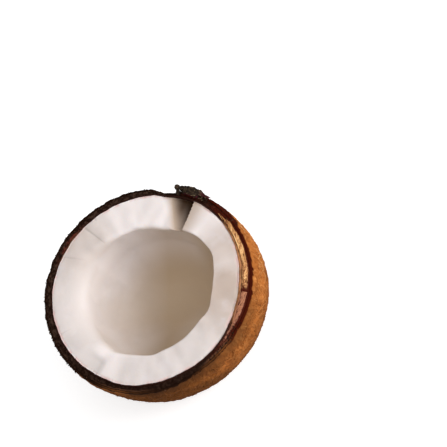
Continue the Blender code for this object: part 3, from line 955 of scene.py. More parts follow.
@dataclass
class Flesh:
    """The thick white cup with its hollow, its notch, and cracks and facets in its cut face."""

    form: NutForm
    finish: FleshFinish = FleshFinish()
    steps: int = 720
    top_rows: int = 26
    lip_rows: int = 16
    hollow_rows: int = 44
    outside_rows: int = 10
    hollow_radius: float = 35.0 * MM
    hollow_depth: float = 43.0 * MM
    hollow_rounding: float = 2.0 / 2.25
    hollow_shift: float = 1.8 * MM
    hollow_shift_at: float = math.radians(310.0)
    soft_side: float = 3.0 * MM
    soft_side_at: float = math.radians(70.0)
    soft_side_depth: Ramp = Ramp(0.0, 15.0 * MM)
    flat_corners: tuple[float, ...] = (12.0, 58.0, 104.0, 150.0, 197.0, 234.0, 291.0, 336.0)
    flat_shares: tuple[float, float] = (0.5, 0.2)
    crisp_flats: Hill = Hill(0.32, -52.0, 75.0)
    flats_fade: Ramp = Ramp(18.0 * MM, 0.0)
    flats_round: float = math.radians(3.8)
    flats_across: float = 1.8 * MM
    crisp_edge: float = 0.9 * MM
    round_edge: float = 11.5 * MM
    soft: Hill = Hill(1.0, 146.0, 86.0)
    wider_edges: tuple[Hill, ...] = (Hill(1.6 * MM, 45.0, 50.0), Hill(0.8 * MM, 242.0, 60.0))
    insets: tuple[Hill, ...] = (
        Hill(2.6 * MM, 50.0, 36.0),
        Hill(3.3 * MM, 20.0, 30.0),
        Hill(0.6 * MM, 242.0, 50.0),
        Hill(-1.1 * MM, 263.0, 24.0),
        Hill(-0.7 * MM, -38.0, 36.0),
    )
    waves: Ripple = Ripple(0.4 * MM, 7.0, length=9.0 * MM)
    chips: Ripple = Ripple(0.3 * MM, 46.0, 3.0)
    chip_level: float = 0.18 * MM
    outer_width: float = 1.6 * MM
    flat_depth: Ramp = Ramp(3.0 * MM, 0.0)
    # Cracks and a facet, whose strength is the painted shade laid in them.
    flaws: tuple[Crack | Facet, ...] = (
        Crack((90.8, 50.5 * MM), (88.1, 34.0 * MM), 1.1 * MM, 0.25 * MM, 0.5),
        Crack((111.9, 51.0 * MM), (107.4, 36.5 * MM), 0.7 * MM, 0.2 * MM, 0.3),
        Crack((158.9, 48.0 * MM), (158.8, 41.5 * MM), 0.7 * MM, 0.15 * MM, 0.22),
        Crack((83.0, 50.0 * MM), (82.5, 47.0 * MM), 0.8 * MM, 0.2 * MM, 0.5),
        Facet(199.0, 176.0, Ramp(39.0 * MM, 43.0 * MM), Ramp(51.0 * MM, 48.0 * MM), 0.8 * MM, 0.35),
    )
    notch: Notch = Notch()
    # The hollow's beige rises along tone_way from its lit side to its shaded side, as painted shade; top_glow
    # and glows take some of it away.
    tone_way: tuple[float, float, float] = (0.67, -0.636, -0.382)
    tone_start: float = -49.0 * MM
    tone_reach: float = 36.0 * MM
    tone_power: float = 0.9
    top_glow: Glow = Glow(Stretch(1.0, 18.0, 104.0, 34.0), Ramp(37.0 * MM, 18.0 * MM), OFF_AXIS)
    top_shares: tuple[float, float] = (0.42, 0.3)
    glows: tuple[Glow, ...] = (
        Glow(Hill(0.22, 180.0, 34.0), Ramp(12.0 * MM, 24.0 * MM), OFF_AXIS),
        Glow(Hill(0.20, 258.0, 88.0), Ramp(30.0 * MM, 8.0 * MM), EVERYWHERE),
        Glow(Hill(0.16, 260.0, 75.0), Ramp(22.0 * MM, 34.0 * MM), Ramp(3.0 * MM, 13.0 * MM)),
    )
    deep_from: tuple[float, float] = (0.05 * MM, 0.3 * MM)
    deep_to: tuple[float, float] = (1.2 * MM, 11.0 * MM)
    # Painted shade on the cut face by angle, on the hollow's wall below it (inner_shades) and on the rolled
    # lip (lip_shade).
    shades: tuple[Term, ...] = (
        Stretch(1.0, 92.0, 172.0, 20.0),
        Stretch(1.0, 216.0, 300.0, 16.0),
        Hill(0.8, -17.0, 18.0),
    )
    inner_shades: tuple[Term, ...] = (Stretch(1.0, 118.0, 172.0, 26.0), Stretch(0.6, 80.0, 118.0, 20.0))
    # Warm painted shade on the cut face by angle.
    warm_shades: tuple[Term, ...] = (
        Stretch(1.0, -62.0, -46.0, 30.0),
        Hill(0.8, -26.0, 30.0),
        Hill(0.5, 100.0, 36.0),
    )
    within: Ramp = Ramp(1.0 * MM, 6.0 * MM)
    lip_shade: float = 0.6
    lip_in: Ramp = Ramp(0.2 * MM, 2.0 * MM)
    lip_out: Ramp = Ramp(9.0 * MM, 5.0 * MM)
    sharp_angle: float = math.radians(50.0)

    def rows(self) -> list[Row]:
        """The rows of the profile, from the bottom outside, over the cut face, to the bottom inside."""
        form, lip = self.form, self.hollow_radius
        start, top = lip + self.round_edge, form.rim_height
        rows = rows_of(form, Zone.OUTSIDE, form.flesh_radius, self.outside_rows)[::-1]
        rows += rows_across(form, form.flesh_radius, start, self.top_rows)
        rows.append(Row(Zone.TOP, 1.0, start, top))
        for number in range(1, self.lip_rows + 1):
            share = number / self.lip_rows
            rows.append(Row(Zone.LIP, share, blend(start, lip, share), top - share * PLAIN_LIP))
        for number in range(1, self.hollow_rows + 1):
            share = number / self.hollow_rows
            radius = 0.0 if number == self.hollow_rows else lip * math.cos(share * math.pi / 2.0)
            rows.append(Row(Zone.INSIDE, share, radius, top - 2.0 * PLAIN_LIP - share * self.hollow_depth))
        return rows

    def flats(self, angle: float) -> float:
        """The flats of the hollow's edge, as a factor on its radius."""
        corners = [math.radians(turn) for turn in self.flat_corners]
        ends = corners + [corners[0] + math.tau]
        turn = (angle - corners[0]) % math.tau + corners[0]
        side = next(number for number in range(len(corners)) if turn <= ends[number + 1])
        half = (ends[side + 1] - ends[side]) / 2.0
        straight = math.cos(half) / math.cos(turn - ends[side] - half)
        share = blend(*self.flat_shares, self.soft.at(angle)) + self.crisp_flats.at(angle)
        return 1.0 + share * (straight - 1.0)

    def rounded_flats(self, angle: float) -> float:
        """The flats with their corners rounded off."""
        turns = [share * self.flats_round for share in (-1.0, -0.5, 0.0, 0.5, 1.0)]
        return sum(self.flats(angle + turn) for turn in turns) / len(turns)

    def edge_roundness(self, angle: float) -> float:
        """How far the rounding of the hollow's edge reaches."""
        wider = summed(self.wider_edges, angle)
        return blend(self.crisp_edge + wider, self.round_edge, self.soft.at(angle))

    def hollow_point(self, angle: float, row: Row) -> tuple[float, float]:
        """Radius and depth of a point on the hollow's rounded edge or its wall.

        Args:
            angle: The point's angle.
            row: The point's row.

        Returns:
            Its radius and its depth below the cut face.
        """
        reach = self.edge_roundness(angle)
        power = 1.0 / self.hollow_rounding
        first_turn = math.asin(min(1.0, reach / self.hollow_depth) ** power)
        if row.zone is Zone.LIP:
            end_radius = self.hollow_radius * math.cos(first_turn) ** self.hollow_rounding
            ahead, behind = row.share, 1.0 - row.share
            radius = behind**2 * (self.hollow_radius + reach)
            radius += 2.0 * ahead * behind * self.hollow_radius + ahead**2 * end_radius
            return radius, ahead**2 * reach
        turn = blend(first_turn, math.pi / 2.0, row.share)
        radius = self.hollow_radius * max(0.0, math.cos(turn)) ** self.hollow_rounding
        return radius, self.hollow_depth * math.sin(turn) ** self.hollow_rounding

    def toned(self, angle: float, depth: float) -> tuple[float, float]:
        """How much painted shade and warm painted shade the flesh has at this angle and depth, each from 0 to
        1.
        """
        within = self.within.of(depth)
        shade = blend(highest(self.shades, angle), highest(self.inner_shades, angle), within)
        rolled = self.lip_in.of(depth) * self.lip_out.of(depth)
        shade += self.lip_shade * rolled * self.soft.at(angle)
        return shade, highest(self.warm_shades, angle) * (1.0 - within)

    def deepened(self, place: Vector, depth: float) -> float:
        """How beige the hollow is at this place, from 0 to 1: more and more from one side to the other,
        mostly painted shade from its lit side to its shaded side, less where the glows lie.
        """
        along = place.dot(Vector(self.tone_way)) - self.tone_start
        share = between(along, 0.0, self.tone_reach) ** self.tone_power
        angle, radius = math.atan2(place.y, place.x), math.hypot(place.x, place.y)
        least, more = self.top_shares
        top = self.top_glow.at(angle, depth, radius) * (least + more * (1.0 - share))
        share -= top + sum(glow.at(angle, depth, radius) for glow in self.glows)
        soft = self.soft.at(angle)
        return max(0.0, share) * rising(depth, blend(*self.deep_from, soft), blend(*self.deep_to, soft**2))

    def hollow_radius_at(self, angle: float, radius: float, depth: float) -> float:
        """The radius moved to the hollow's own outline, with its flats, its shift and its insets."""
        middle = (self.form.flesh_radius + self.hollow_radius) / 2.0 + self.flats_across
        inner = 1.0 - between(radius, self.hollow_radius, middle)
        share = inner * self.flats_fade.of(depth)
        inset = summed(self.insets, angle)
        radius *= 1.0 + share * (self.rounded_flats(angle) - 1.0)
        radius += share * (self.hollow_shift * math.cos(angle - self.hollow_shift_at) - inset)
        side = (1.0 + math.cos(angle - self.soft_side_at)) / 2.0 * between(radius, 0.0, self.hollow_radius)
        return radius - inner * side * self.soft_side * self.soft_side_depth.of(depth)

    def rule(self, angle: float, row: Row) -> tuple[Vector, Masks]:
        """The place and masks of one vertex.

        Args:
            angle: The vertex's angle.
            row: The vertex's row.

        Returns:
            Its place, and its values of deep, crack_shade, notch_shadow, blush, shade and warm_shade: all but
            blush are painted shade, and deep is the hollow's beige, mostly painted shade.
        """
        form, notch = self.form, self.notch
        if row.zone is Zone.OUTSIDE:
            place = form.settled(angle, row.radius, row.height)
            notch_at = notch.place(angle, row.radius)
            place.z -= max(0.0, notch.drop(*notch_at) - (form.rim_height - row.height))
            return place, (0.0, 0.0, notch.shadowed(*notch_at), 1.0, *self.toned(angle, 0.0))
        if row.zone is Zone.TOP:
            start = self.hollow_radius + self.edge_roundness(angle)
            radius, depth = blend(form.flesh_radius, start, row.share), 0.0
        else:
            radius, depth = self.hollow_point(angle, row)
        radius = self.hollow_radius_at(angle, radius, depth)
        place = form.settled(angle, radius, form.rim_height - depth)
        outer = rising(radius, form.flesh_radius - self.outer_width, form.flesh_radius)
        flat = self.flat_depth.of(depth)
        relief = self.waves.at(angle, radius) + outer * (self.chip_level + self.chips.at(angle))
        drop, crack_shade = flat * relief, 0.0
        for flaw in self.flaws if flat > 0.0 else ():
            found = flat * flaw.share(angle, radius)
            drop += flaw.depth * found
            crack_shade = max(crack_shade, flaw.strength * found)
        notch_at = notch.place(angle, radius)
        place.z -= drop + max(0.0, notch.drop(*notch_at) - depth)
        notch_shadow = flat * notch.shadowed(*notch_at)
        return place, (self.deepened(place, depth), crack_shade, notch_shadow, outer, *self.toned(angle, depth))

    def build(self) -> bpy.types.Object:
        """Builds and dresses the flesh."""
        masks = ("deep", "crack_shade", "notch_shadow", "blush", "shade", "warm_shade")
        piece = turned_mesh("coconut_flesh", self.rows(), self.steps, False, masks, self.rule)
        piece.data.set_sharp_from_angle(angle=self.sharp_angle)
        return dressed(piece, self.finish.material(), "flesh", "flesh")


@dataclass
class SeedSkin:
    """The thin brown skin round the flesh, whose edge shows as a reddish line."""

    form: NutForm
    finish: SkinFinish = SkinFinish()
    steps: int = 720
    side_rows: int = 10
    top_rows: int = 3
    edge_depth: Ramp = Ramp(1.5 * MM, 0.0)
    edge_rise: float = 0.1 * MM
    edge_chips: Ripple = Ripple(0.25 * MM, 70.0, 1.0)
    bared: tuple[Term, ...] = (Stretch(0.7, -64.0, -16.0, 9.0), Hill(0.3, 104.0, 22.0))

    def rule(self, angle: float, row: Row) -> tuple[Vector, Masks]:
        """The place of one vertex, and how far the skin is bared there."""
        place = self.form.settled(angle, row.radius, row.height)
        rise = self.edge_rise + self.edge_chips.at(angle)
        place.z += self.edge_depth.of(self.form.rim_height - row.height) * rise
        return place, (highest(self.bared, angle),)

    def build(self) -> bpy.types.Object:
        """Builds and dresses the skin."""
        form, within = self.form, self.form.skin_radius - self.form.skin_wall
        rows = rows_of(form, Zone.OUTSIDE, form.skin_radius, self.side_rows)[::-1]
        rows += rows_across(form, form.skin_radius, within, self.top_rows)
        rows += rows_of(form, Zone.INSIDE, within, self.side_rows)
        piece = turned_mesh("seed_skin", rows, self.steps, False, ("bared",), self.rule)
        return dressed(piece, self.finish.material(), "brown_skin", "brown_skin")


@dataclass
class Shell:
    """The hard shell, with its rough broken edge, the missing flake, and the knob that the half rests on."""

    form: NutForm
    finish: ShellFinish = ShellFinish()
    steps: int = 1088
    outside_rows: int = 22
    top_rows: int = 16
    inside_rows: int = 8
    spot_radius: float = 9.0 * MM
    spot_bevel: float = 1.2 * MM
    spot_bevel_height: float = 0.36 * MM
    knob_radius: float = 12.5 * MM
    flake_opens: Ramp = Ramp(0.0, 0.3)
    flake_slope: float = 2.5 * MM
    edge_depth: Ramp = Ramp(2.0 * MM, 0.0)
    golden: Stretch = Stretch(1.0, -55.0, -18.0, 10.0)
    golden_ends: tuple[Ramp, Ramp] = (turn_ramp(-51.5, -48.5), turn_ramp(-5.0, -12.0))
    browned: Stretch = Stretch(1.0, -78.0, -50.0, 8.0)
    browned_end: Ramp = turn_ramp(-52.5, -55.0)
    browned_shares: tuple[float, float] = (0.6, 0.9)
    browned_more: Ramp = turn_ramp(-74.0, -62.0)
    strand_width: float = 1.3 * MM
    strand_waves: float = 1.3
    strand_lean: float = 1.2
    strand_gaps: Ramp = Ramp(-0.55, -0.05)
    strand_ends: tuple[float, float] = (0.74, 0.45)
    strands_shorter: float = 0.42
    strand_fade: float = 0.16
    rough: tuple[Ripple, ...] = (Ripple(1.0, 60.0, length=1.0 / 3.0), Ripple(0.6, 140.0, length=1.0 / 7.0))
    rough_height: float = 0.45 * MM
    strand_heights: tuple[float, float] = (0.8 * MM, 0.2 * MM)
    side_height: float = 0.35
    middle_start: float = 0.05
    middle_more: float = 0.9
    maroon_dip: Ramp = Ramp(0.0, 0.5)
    maroon: Hill = Hill(1.0, 18.0, 11.0)
    red: Hill = Hill(1.0, 103.0, 17.0)
    red_across: Ramp = Ramp(0.75, 0.3)
    mottled_shares: tuple[float, float] = (0.3, 0.8)
    mottled: Stretch = Stretch(1.0, 50.0, 160.0, 40.0)
    crusts: tuple[tuple[Term, Ramp], ...] = (
        (Hill(1.0, 214.0, 26.0), Ramp(0.6, 0.9)),
        (Stretch(1.0, -92.0, -84.0, 10.0), Ramp(0.5, 0.72)),
    )

    @property
    def inner_radius(self) -> float:
        """Inner radius of the shell at the cut face."""
        return self.form.shell_radius - self.form.shell_wall

    def rows(self) -> list[Row]:
        """The rows of the profile, from the rest spot, over the edge, to the bottom inside."""
        form, spot = self.form, self.spot_radius
        rows = [Row(Zone.KNOB, 0.0, radius, 0.0) for radius in (0.0, spot / 2.0, spot)]
        rows.append(Row(Zone.KNOB, 1.0, spot + self.spot_bevel, self.spot_bevel_height))
        rows += rows_of(form, Zone.OUTSIDE, form.shell_radius, self.outside_rows, self.knob_radius)[::-1]
        rows += rows_across(form, form.shell_radius, self.inner_radius, self.top_rows)
        return rows + rows_of(form, Zone.INSIDE, self.inner_radius, self.inside_rows)

    def flaked(self, angle: float, row: Row) -> float:
        """The radius of this row, further in where the flake is missing."""
        form, flake = self.form, self.form.flake(angle)
        opened = self.flake_opens.of(flake)
        if row.zone is Zone.TOP:
            left = blend(1.0, form.flake_wall_left / form.shell_wall, opened)
            return self.inner_radius + (row.radius - self.inner_radius) * left
        if row.zone is Zone.OUTSIDE:
            bottom = flake * form.flake_depth
            above = rising(form.rim_height - row.height, bottom + self.flake_slope, bottom)
            return row.radius - opened * above * (form.shell_wall - form.flake_wall_left)
        return row.radius

    def rule(self, angle: float, row: Row) -> tuple[Vector, Masks]:
        """The place and masks of one vertex.

        Args:
            angle: The vertex's angle.
            row: The vertex's row.

        Returns:
            Its place, and its values of gold, brown, maroon, red, outer and mottled.
        """
        form = self.form
        if row.zone is Zone.KNOB:
            return at(angle, row.radius, row.height), (0.0, 0.0, 0.0, 0.0, 0.0, 1.0)
        place = form.settled(angle, self.flaked(angle, row), row.height)
        top = 0.0 if row.zone is Zone.INSIDE else self.edge_depth.of(form.rim_height - row.height)
        across = between(row.radius, self.inner_radius, form.shell_radius)
        begins, ends = (ramp.of(angle) for ramp in self.golden_ends)
        gold = begins * self.golden.at(angle) * ends
        brown = self.browned_end.of(angle) * self.browned.at(angle)
        brown *= blend(*self.browned_shares, self.browned_more.of(angle))
        lean = angle + self.strand_lean * (across * form.shell_wall) / form.shell_radius
        strands = noise.noise(at(lean, form.shell_radius / self.strand_width, across * self.strand_waves))
        rough = summed(self.rough, angle, across)
        strand_height, more = self.strand_heights
        bared = strand_height * strands + more * rough
        relief = blend(self.rough_height * rough, bared, max(gold, brown))
        middle = math.sin(math.pi * min(1.0, self.middle_start + self.middle_more * across))
        place.z += top * relief * blend(self.side_height, 1.0, middle)
        end = blend(*self.strand_ends, DIP_NARROWS.of(angle)) - self.strands_shorter * DIP_WIDENS.of(angle)
        covered = top * rising(across, end + self.strand_fade, end) * self.strand_gaps.of(strands)
        maroon = top * max(self.maroon_dip.of(form.dip_share(angle)), self.maroon.at(angle))
        red = top * self.red.at(angle) * self.red_across.of(across)
        outer = top * max(term.at(angle) * ramp.of(across) for term, ramp in self.crusts)
        mottled = blend(*self.mottled_shares, self.mottled.at(angle))
        return place, (gold * covered, brown * covered, maroon, red, outer, mottled)

    def build(self) -> bpy.types.Object:
        """Builds and dresses the shell."""
        masks = ("gold", "brown", "maroon", "red", "outer", "mottled")
        piece = turned_mesh("hard_shell", self.rows(), self.steps, False, masks, self.rule)
        return dressed(piece, self.finish.material(), "shell", "shell")


@dataclass
class CoatSurface:
    """The outside of the coat of matted fibre, as a rule that both the coat and its strands follow."""

    form: NutForm
    hole_radius: float = 14.0 * MM
    table_size: int = 160
    relief: float = 0.8 * MM
    fibre_length: float = 14.0 * MM
    ridges: tuple[Ripple, ...] = tuple(Ripple(1.0, 11.0, slant, 1.0, slant) for slant in (-0.35, 0.35))
    thinness: float = 3.5
    clumps: Ripple = Ripple(0.4, 3.5, length=1.0)
    threads: tuple[Ripple, ...] = (
        Ripple(0.16 * MM, 62.0, length=1.0 / 3.0, slant=0.25),
        Ripple(0.112 * MM, 110.0, length=0.2, slant=-0.4),
    )
    relief_at_edge: float = 0.3
    relief_depth: Ramp = Ramp(0.0, 5.0 * MM)
    full_radius: float = 28.0 * MM
    start_ragged: tuple[Ripple, ...] = (Ripple(0.35 * MM, 34.0, 5.0), Ripple(0.21 * MM, 90.0, 9.0))
    edge_ragged: Ripple = Ripple(0.5 * MM, 26.0, length=2.0 * MM)
    edge_widths: tuple[float, float] = (2.4 * MM, 0.6 * MM)
    edge_dip: Ramp = Ramp(0.1, 0.7)
    edge_below: tuple[float, Stretch] = (0.3 * MM, Stretch(1.0, -125.0, -68.0, 16.0))
    edge_beside: tuple[float, Hill] = (0.8 * MM, Hill(1.0, 220.0, 40.0))
    edge_spot: Hill = Hill(9.0 * MM, -1.0, 18.0)
    red: Stretch = Stretch(1.0, -75.0, 14.0, 14.0)
    # Painted shade towards the underside: where it starts round the nut, its patches and how dark it gets.
    under_side: Stretch = Stretch(1.0, -80.0, 5.0, 40.0)
    under_starts: tuple[float, float] = (-14.0 * MM, 14.0 * MM)
    under_sooner: Hill = Hill(5.0 * MM, -64.0, 30.0)
    under_patches: Ripple = Ripple(6.0 * MM, 3.0, length=12.0 * MM)
    under_length: float = 24.0 * MM
    under_most: float = 0.92
    top_paler: tuple[Term, ...] = (Hill(0.5, 218.0, 24.0), Stretch(0.75, -96.0, -84.0, 10.0))
    # Painted shade along the coat's lower edge, by angle and depth.
    near: tuple[Term, ...] = (Stretch(0.93, -138.0, -92.0, 16.0), Stretch(0.688, -92.0, -66.0, 18.0))
    near_patches: Ripple = Ripple(3.0 * MM, 9.0, length=5.0 * MM)
    near_depth: Ramp = Ramp(13.0 * MM, 0.0)

    def __post_init__(self) -> None:
        """Measures the way down the side, from the edge to the hole round the knob."""
        radius = self.form.coat_radius
        last = self.form.turn_at(radius, self.hole_radius)
        count = self.table_size
        self.side = [self.form.side(radius, last * number / count) for number in range(count + 1)]
        self.lengths = [0.0]
        for (radius_a, height_a), (radius_b, height_b) in zip(self.side, self.side[1:]):
            self.lengths.append(self.lengths[-1] + math.hypot(radius_b - radius_a, height_b - height_a))

    @property
    def length(self) -> float:
        """How long the way down the side is."""
        return self.lengths[-1]

    def down(self, way: float) -> tuple[float, float]:
        """Radius and height at this length of way down the side."""
        way = min(self.length, max(0.0, way))
        low, high = 0, self.table_size
        while high - low > 1:
            middle = (low + high) // 2
            if self.lengths[middle] > way:
                high = middle
            else:
                low = middle
        share = (way - self.lengths[low]) / (self.lengths[high] - self.lengths[low])
        return tuple(blend(first, second, share) for first, second in zip(self.side[low], self.side[high]))

    def start(self, angle: float) -> float:
        """How far down the side the coat starts, which is lower where the flake is missing."""
        ragged = max(0.0, summed(self.start_ragged, angle))
        return ragged + self.form.flake(angle) * self.form.flake_depth_outside

    def raised(self, angle: float, height: float) -> float:
        """How far the matted fibres stand out, in ridges that cross each other at a slant."""
        rise = height / self.fibre_length
        ridge = max(1.0 - self.thinness * abs(ripple.at(angle, rise)) for ripple in self.ridges)
        matted = self.relief * between(ridge + self.clumps.at(angle, rise), 0.0, 1.0)
        fade = blend(self.relief_at_edge, 1.0, self.relief_depth.of(self.form.rim_height - height))
        return fade * (matted + summed(self.threads, angle, rise))

    def outwards(self, angle: float, radius: float, height: float) -> Vector:
        """The way out of the surface here, of length 1."""
        power = 2.0 / self.form.rounding - 1.0
        widest = self.form.coat_radius
        deepest = self.form.depth_of(widest)
        flat = between(radius, 0.0, widest) ** power / widest
        down = between(self.form.rim_height - height, 0.0, deepest) ** power / deepest
        return at(angle, flat, -down).normalized()

    def point(self, angle: float, way: float, lift: float = 0.0) -> Vector:
        """A point on the coat's outside.

        Args:
            angle: The point's angle.
            way: How far down the side it lies.
            lift: How far above the matted surface it lies.

        Returns:
            The point.
        """
        radius, height = self.down(way)
        fade = rising(radius, self.hole_radius, self.full_radius)
        proud = fade * self.raised(angle, height) + lift
        return self.form.settled(angle, radius, height) + self.outwards(angle, radius, height) * proud

    def edge_mask(self, angle: float, way: float) -> float:
        """How dark the coat is near its broken edge, from 0 to 1."""
        depth = way - self.form.flake(angle) * self.form.flake_depth_outside
        wide = blend(*self.edge_widths, self.edge_dip.of(self.form.dip_share(angle)))
        (below, below_at), (beside, beside_at) = self.edge_below, self.edge_beside
        wide = blend(wide, below, below_at.at(angle)) + self.edge_spot.at(angle)
        wide = blend(wide, beside, beside_at.at(angle))
        return rising(depth + self.edge_ragged.at(angle, way), wide, wide / 2.0)

    def under_mask(self, angle: float, way: float) -> float:
        """How much painted shade browns and darkens the coat towards its underside, from 0 to 1."""
        start = blend(*self.under_starts, self.under_side.at(angle)) - self.under_sooner.at(angle)
        way += self.under_patches.at(angle, way)
        return self.under_most * rising(way, start, start + self.under_length)

    def top_mask(self, angle: float) -> float:
        """How dark the coat's broken edge itself is at this angle, from 0 to 1."""
        return 1.0 - summed(self.top_paler, angle)

    def near_mask(self, angle: float, way: float) -> float:
        """How much painted shade darkens the coat along the lower edge, from 0 to 1."""
        return highest(self.near, angle) * self.near_depth.of(way + self.near_patches.at(angle, way))


@dataclass
class Coat:
    """The coat of matted husk fibre, open round the knob."""

    surface: CoatSurface
    finish: CoatFinish = CoatFinish()
    steps: int = 896
    outside_rows: int = 84
    top_rows: int = 4
    inside_rows: int = 8
    row_power: float = 1.15
    settles_within: float = 26.0 * MM
    top_crown: float = 0.25 * MM

    def rows(self) -> list[Row]:
        """The rows of the profile, from the hole up the outside, over the edge and down the inside."""
        form, last = self.surface.form, self.surface.hole_radius
        within = form.coat_radius - form.coat_wall
        rows = rows_of(form, Zone.OUTSIDE, form.coat_radius, self.outside_rows, last)[::-1]
        rows += rows_across(form, form.coat_radius, within, self.top_rows)
        return rows + rows_of(form, Zone.INSIDE, within, self.inside_rows, last)

    def rule(self, angle: float, row: Row) -> tuple[Vector, Masks]:
        """The place of one vertex, and its values of edge, under, red and near."""
        surface, form = self.surface, self.surface.form
        start, red = surface.start(angle), surface.red.at(angle)
        if row.zone is Zone.OUTSIDE:
            way = surface.length * row.share**self.row_power
            if way < self.settles_within:
                way = blend(start, self.settles_within, way / self.settles_within)
            masks = (surface.edge_mask(angle, way), surface.under_mask(angle, way), red)
            return surface.point(angle, way), (*masks, surface.near_mask(angle, way))
        if row.zone is Zone.TOP:
            radius, height = surface.down(start)
            height += self.top_crown * math.sin(math.pi * row.share)
            place = form.settled(angle, radius - row.share * form.coat_wall, height)
            return place, (surface.top_mask(angle), 0.0, red, surface.near_mask(angle, 0.0))
        within = form.coat_radius - form.coat_wall
        depth = form.rim_height - min(surface.down(start)[1], row.height)
        power = 2.0 / form.rounding
        radius = within * max(0.0, 1.0 - (depth / form.depth_of(within)) ** power) ** (1.0 / power)
        radius = surface.hole_radius if row.share == 1.0 else radius
        return form.settled(angle, radius, form.rim_height - depth), (1.0, 0.0, 0.0, 0.0)

    def build(self) -> bpy.types.Object:
        """Builds and dresses the coat."""
        masks = ("edge", "brown_and_underside_shade", "red", "near")
        piece = turned_mesh("fibre_coat", self.rows(), self.steps, True, masks, self.rule)
        return dressed(piece, self.finish.material(), "husk_coat", "husk_coat")


@dataclass(frozen=True)
class Strand:
    """One fibre.

    Attributes:
        points: The points that it follows.
        radius: Its radius at its middle.
        tip: Its radius at its ends, as a share of radius.
        shade: How light it is, from 0 to 1.
        edge: How dark it is at each point, as near the broken edge, from 0 to 1.
        brown_and_underside_shade: How brown and dark it is at each point, from 0 to 1: on the coat, painted
            shade near its underside and lower edge; on bared strands, their own brown.
    """

    points: list[Vector]
    radius: float
    tip: float
    shade: float
    edge: list[float]
    brown_and_underside_shade: list[float]


def bent_path(root: Vector, way: Vector, bend: Vector, count: int) -> list[Vector]:
    """Points from root along way, bent more and more."""
    shares = [number / (count - 1) for number in range(count)]
    return [root + way * share + bend * share**2 for share in shares]


def strands_mesh(name: str, strands: Sequence[Strand]) -> bpy.types.Object:
    """One piece of many fibres, each a closed tube with four sides.

    Args:
        name: Name of the piece.
        strands: The fibres.

    Returns:
        The piece, with each fibre's shade, edge and brown_and_underside_shade on its vertices.
    """
    curve = bpy.data.curves.new(name, "CURVE")
    curve.dimensions = "3D"
    curve.bevel_depth = 1.0
    curve.bevel_resolution = 0
    values: dict[str, list[float]] = {"shade": [], "edge": [], "brown_and_underside_shade": []}
    for strand in strands:
        spline = curve.splines.new("POLY")
        count = len(strand.points)
        spline.points.add(count - 1)
        for number, place in enumerate(strand.points):
            share = abs(2.0 * number / (count - 1) - 1.0)
            spline.points[number].co = (*place, 1.0)
            spline.points[number].radius = strand.radius * blend(1.0, strand.tip, share**2)
            values["shade"] += [strand.shade] * TUBE_SIDES
            values["edge"] += [strand.edge[number]] * TUBE_SIDES
            values["brown_and_underside_shade"] += [strand.brown_and_underside_shade[number]] * TUBE_SIDES
    guide = bpy.data.objects.new(name + "_guide", curve)
    bpy.context.scene.collection.objects.link(guide)
    graph = bpy.context.evaluated_depsgraph_get()
    tubes = bpy.data.meshes.new_from_object(guide.evaluated_get(graph))
    bpy.data.objects.remove(guide, do_unlink=True)
    bpy.data.curves.remove(curve)
    shape = bmesh.new()
    shape.from_mesh(tubes)
    bpy.data.meshes.remove(tubes)
    bmesh.ops.holes_fill(shape, edges=shape.edges, sides=TUBE_SIDES)
    bmesh.ops.recalc_face_normals(shape, faces=shape.faces)
    mesh = mesh_of(name, shape)
    mark(mesh, values)
    return added(name, mesh)


@dataclass
class MattedFibres:
    """Short fibres that lie matted on the coat."""

    surface: CoatSurface
    finish: StrandFinish
    name: str = "coat_fibres"
    count: int = 3600
    radii: tuple[float, float] = (0.08 * MM, 0.16 * MM)
    lengths: tuple[float, float] = (5.0 * MM, 12.0 * MM)
    tip: float = 0.35
    lift: float = 0.15 * MM
    sink: float = 0.04 * MM
    seed: int = 11
    points: int = 6
    headings: Ripple = Ripple(1.5, 4.0, length=14.0 * MM)
    heading_spread: float = 0.35
    crossing_share: float = 0.2
    crossing_turns: tuple[float, float] = (0.6, 1.4)
    curl_spread: float = 0.10
    edge_margin: float = 0.3 * MM
    hole_margin: float = 1.0 * MM
    least_radius: float = 10.0 * MM
    # Painted highlight: fibres are lighter round -18 degrees, where the light falls on the coat.
    painted_highlight: Hill = Hill(0.4, -18.0, 24.0)
    # dimmed: how much the coat's painted shade darkens a fibre's own shade.
    dimmed: float = 0.7

    def strand(self, draw: random.Random) -> Strand | None:
        """Draws one fibre, or nothing where it would leave the coat."""
        surface = self.surface
        angle = draw.uniform(0.0, math.tau)
        way = surface.length * draw.random()
        if draw.random() > surface.down(way)[0] / surface.form.coat_radius:
            return None
        length = draw.uniform(*self.lengths)
        heading = self.headings.at(angle, way) + draw.gauss(0.0, self.heading_spread)
        if draw.random() < self.crossing_share:
            heading += draw.choice((-1.0, 1.0)) * draw.uniform(*self.crossing_turns)
        curl = draw.gauss(0.0, self.curl_spread)
        step = length / (self.points - 1)
        points, edge, brown_and_underside_shade = [], [], []
        for number in range(self.points):
            low, high = surface.start(angle) + self.edge_margin, surface.length - self.hole_margin
            if way < low or way > high:
                return None
            share = number / (self.points - 1)
            lift = self.lift * math.sin(math.pi * share) - self.sink * (2.0 * share - 1.0) ** 4
            points.append(surface.point(angle, way, lift))
            edge.append(surface.edge_mask(angle, way))
            # Fibres take on the coat's painted shade from the underside and the lower edge.
            brown_and_underside_shade.append(max(surface.under_mask(angle, way), surface.near_mask(angle, way)))
            angle += step * math.sin(heading) / max(surface.down(way)[0], self.least_radius)
            way += step * math.cos(heading)
            heading += curl
        thickness = draw.uniform(*self.radii)
        shade = min(1.0, self.painted_highlight.at(angle) + draw.random()) * (1.0 - self.dimmed * max(brown_and_underside_shade))
        return Strand(points, thickness, self.tip, shade, edge, brown_and_underside_shade)

    def build(self) -> bpy.types.Object:
        """Builds and dresses the fibres."""
        draw = random.Random(self.seed)
        strands: list[Strand] = []
        while len(strands) < self.count:
            found = self.strand(draw)
            if found is not None:
                strands.append(found)
        return dressed(strands_mesh(self.name, strands), self.finish.material(), "husk_coat")


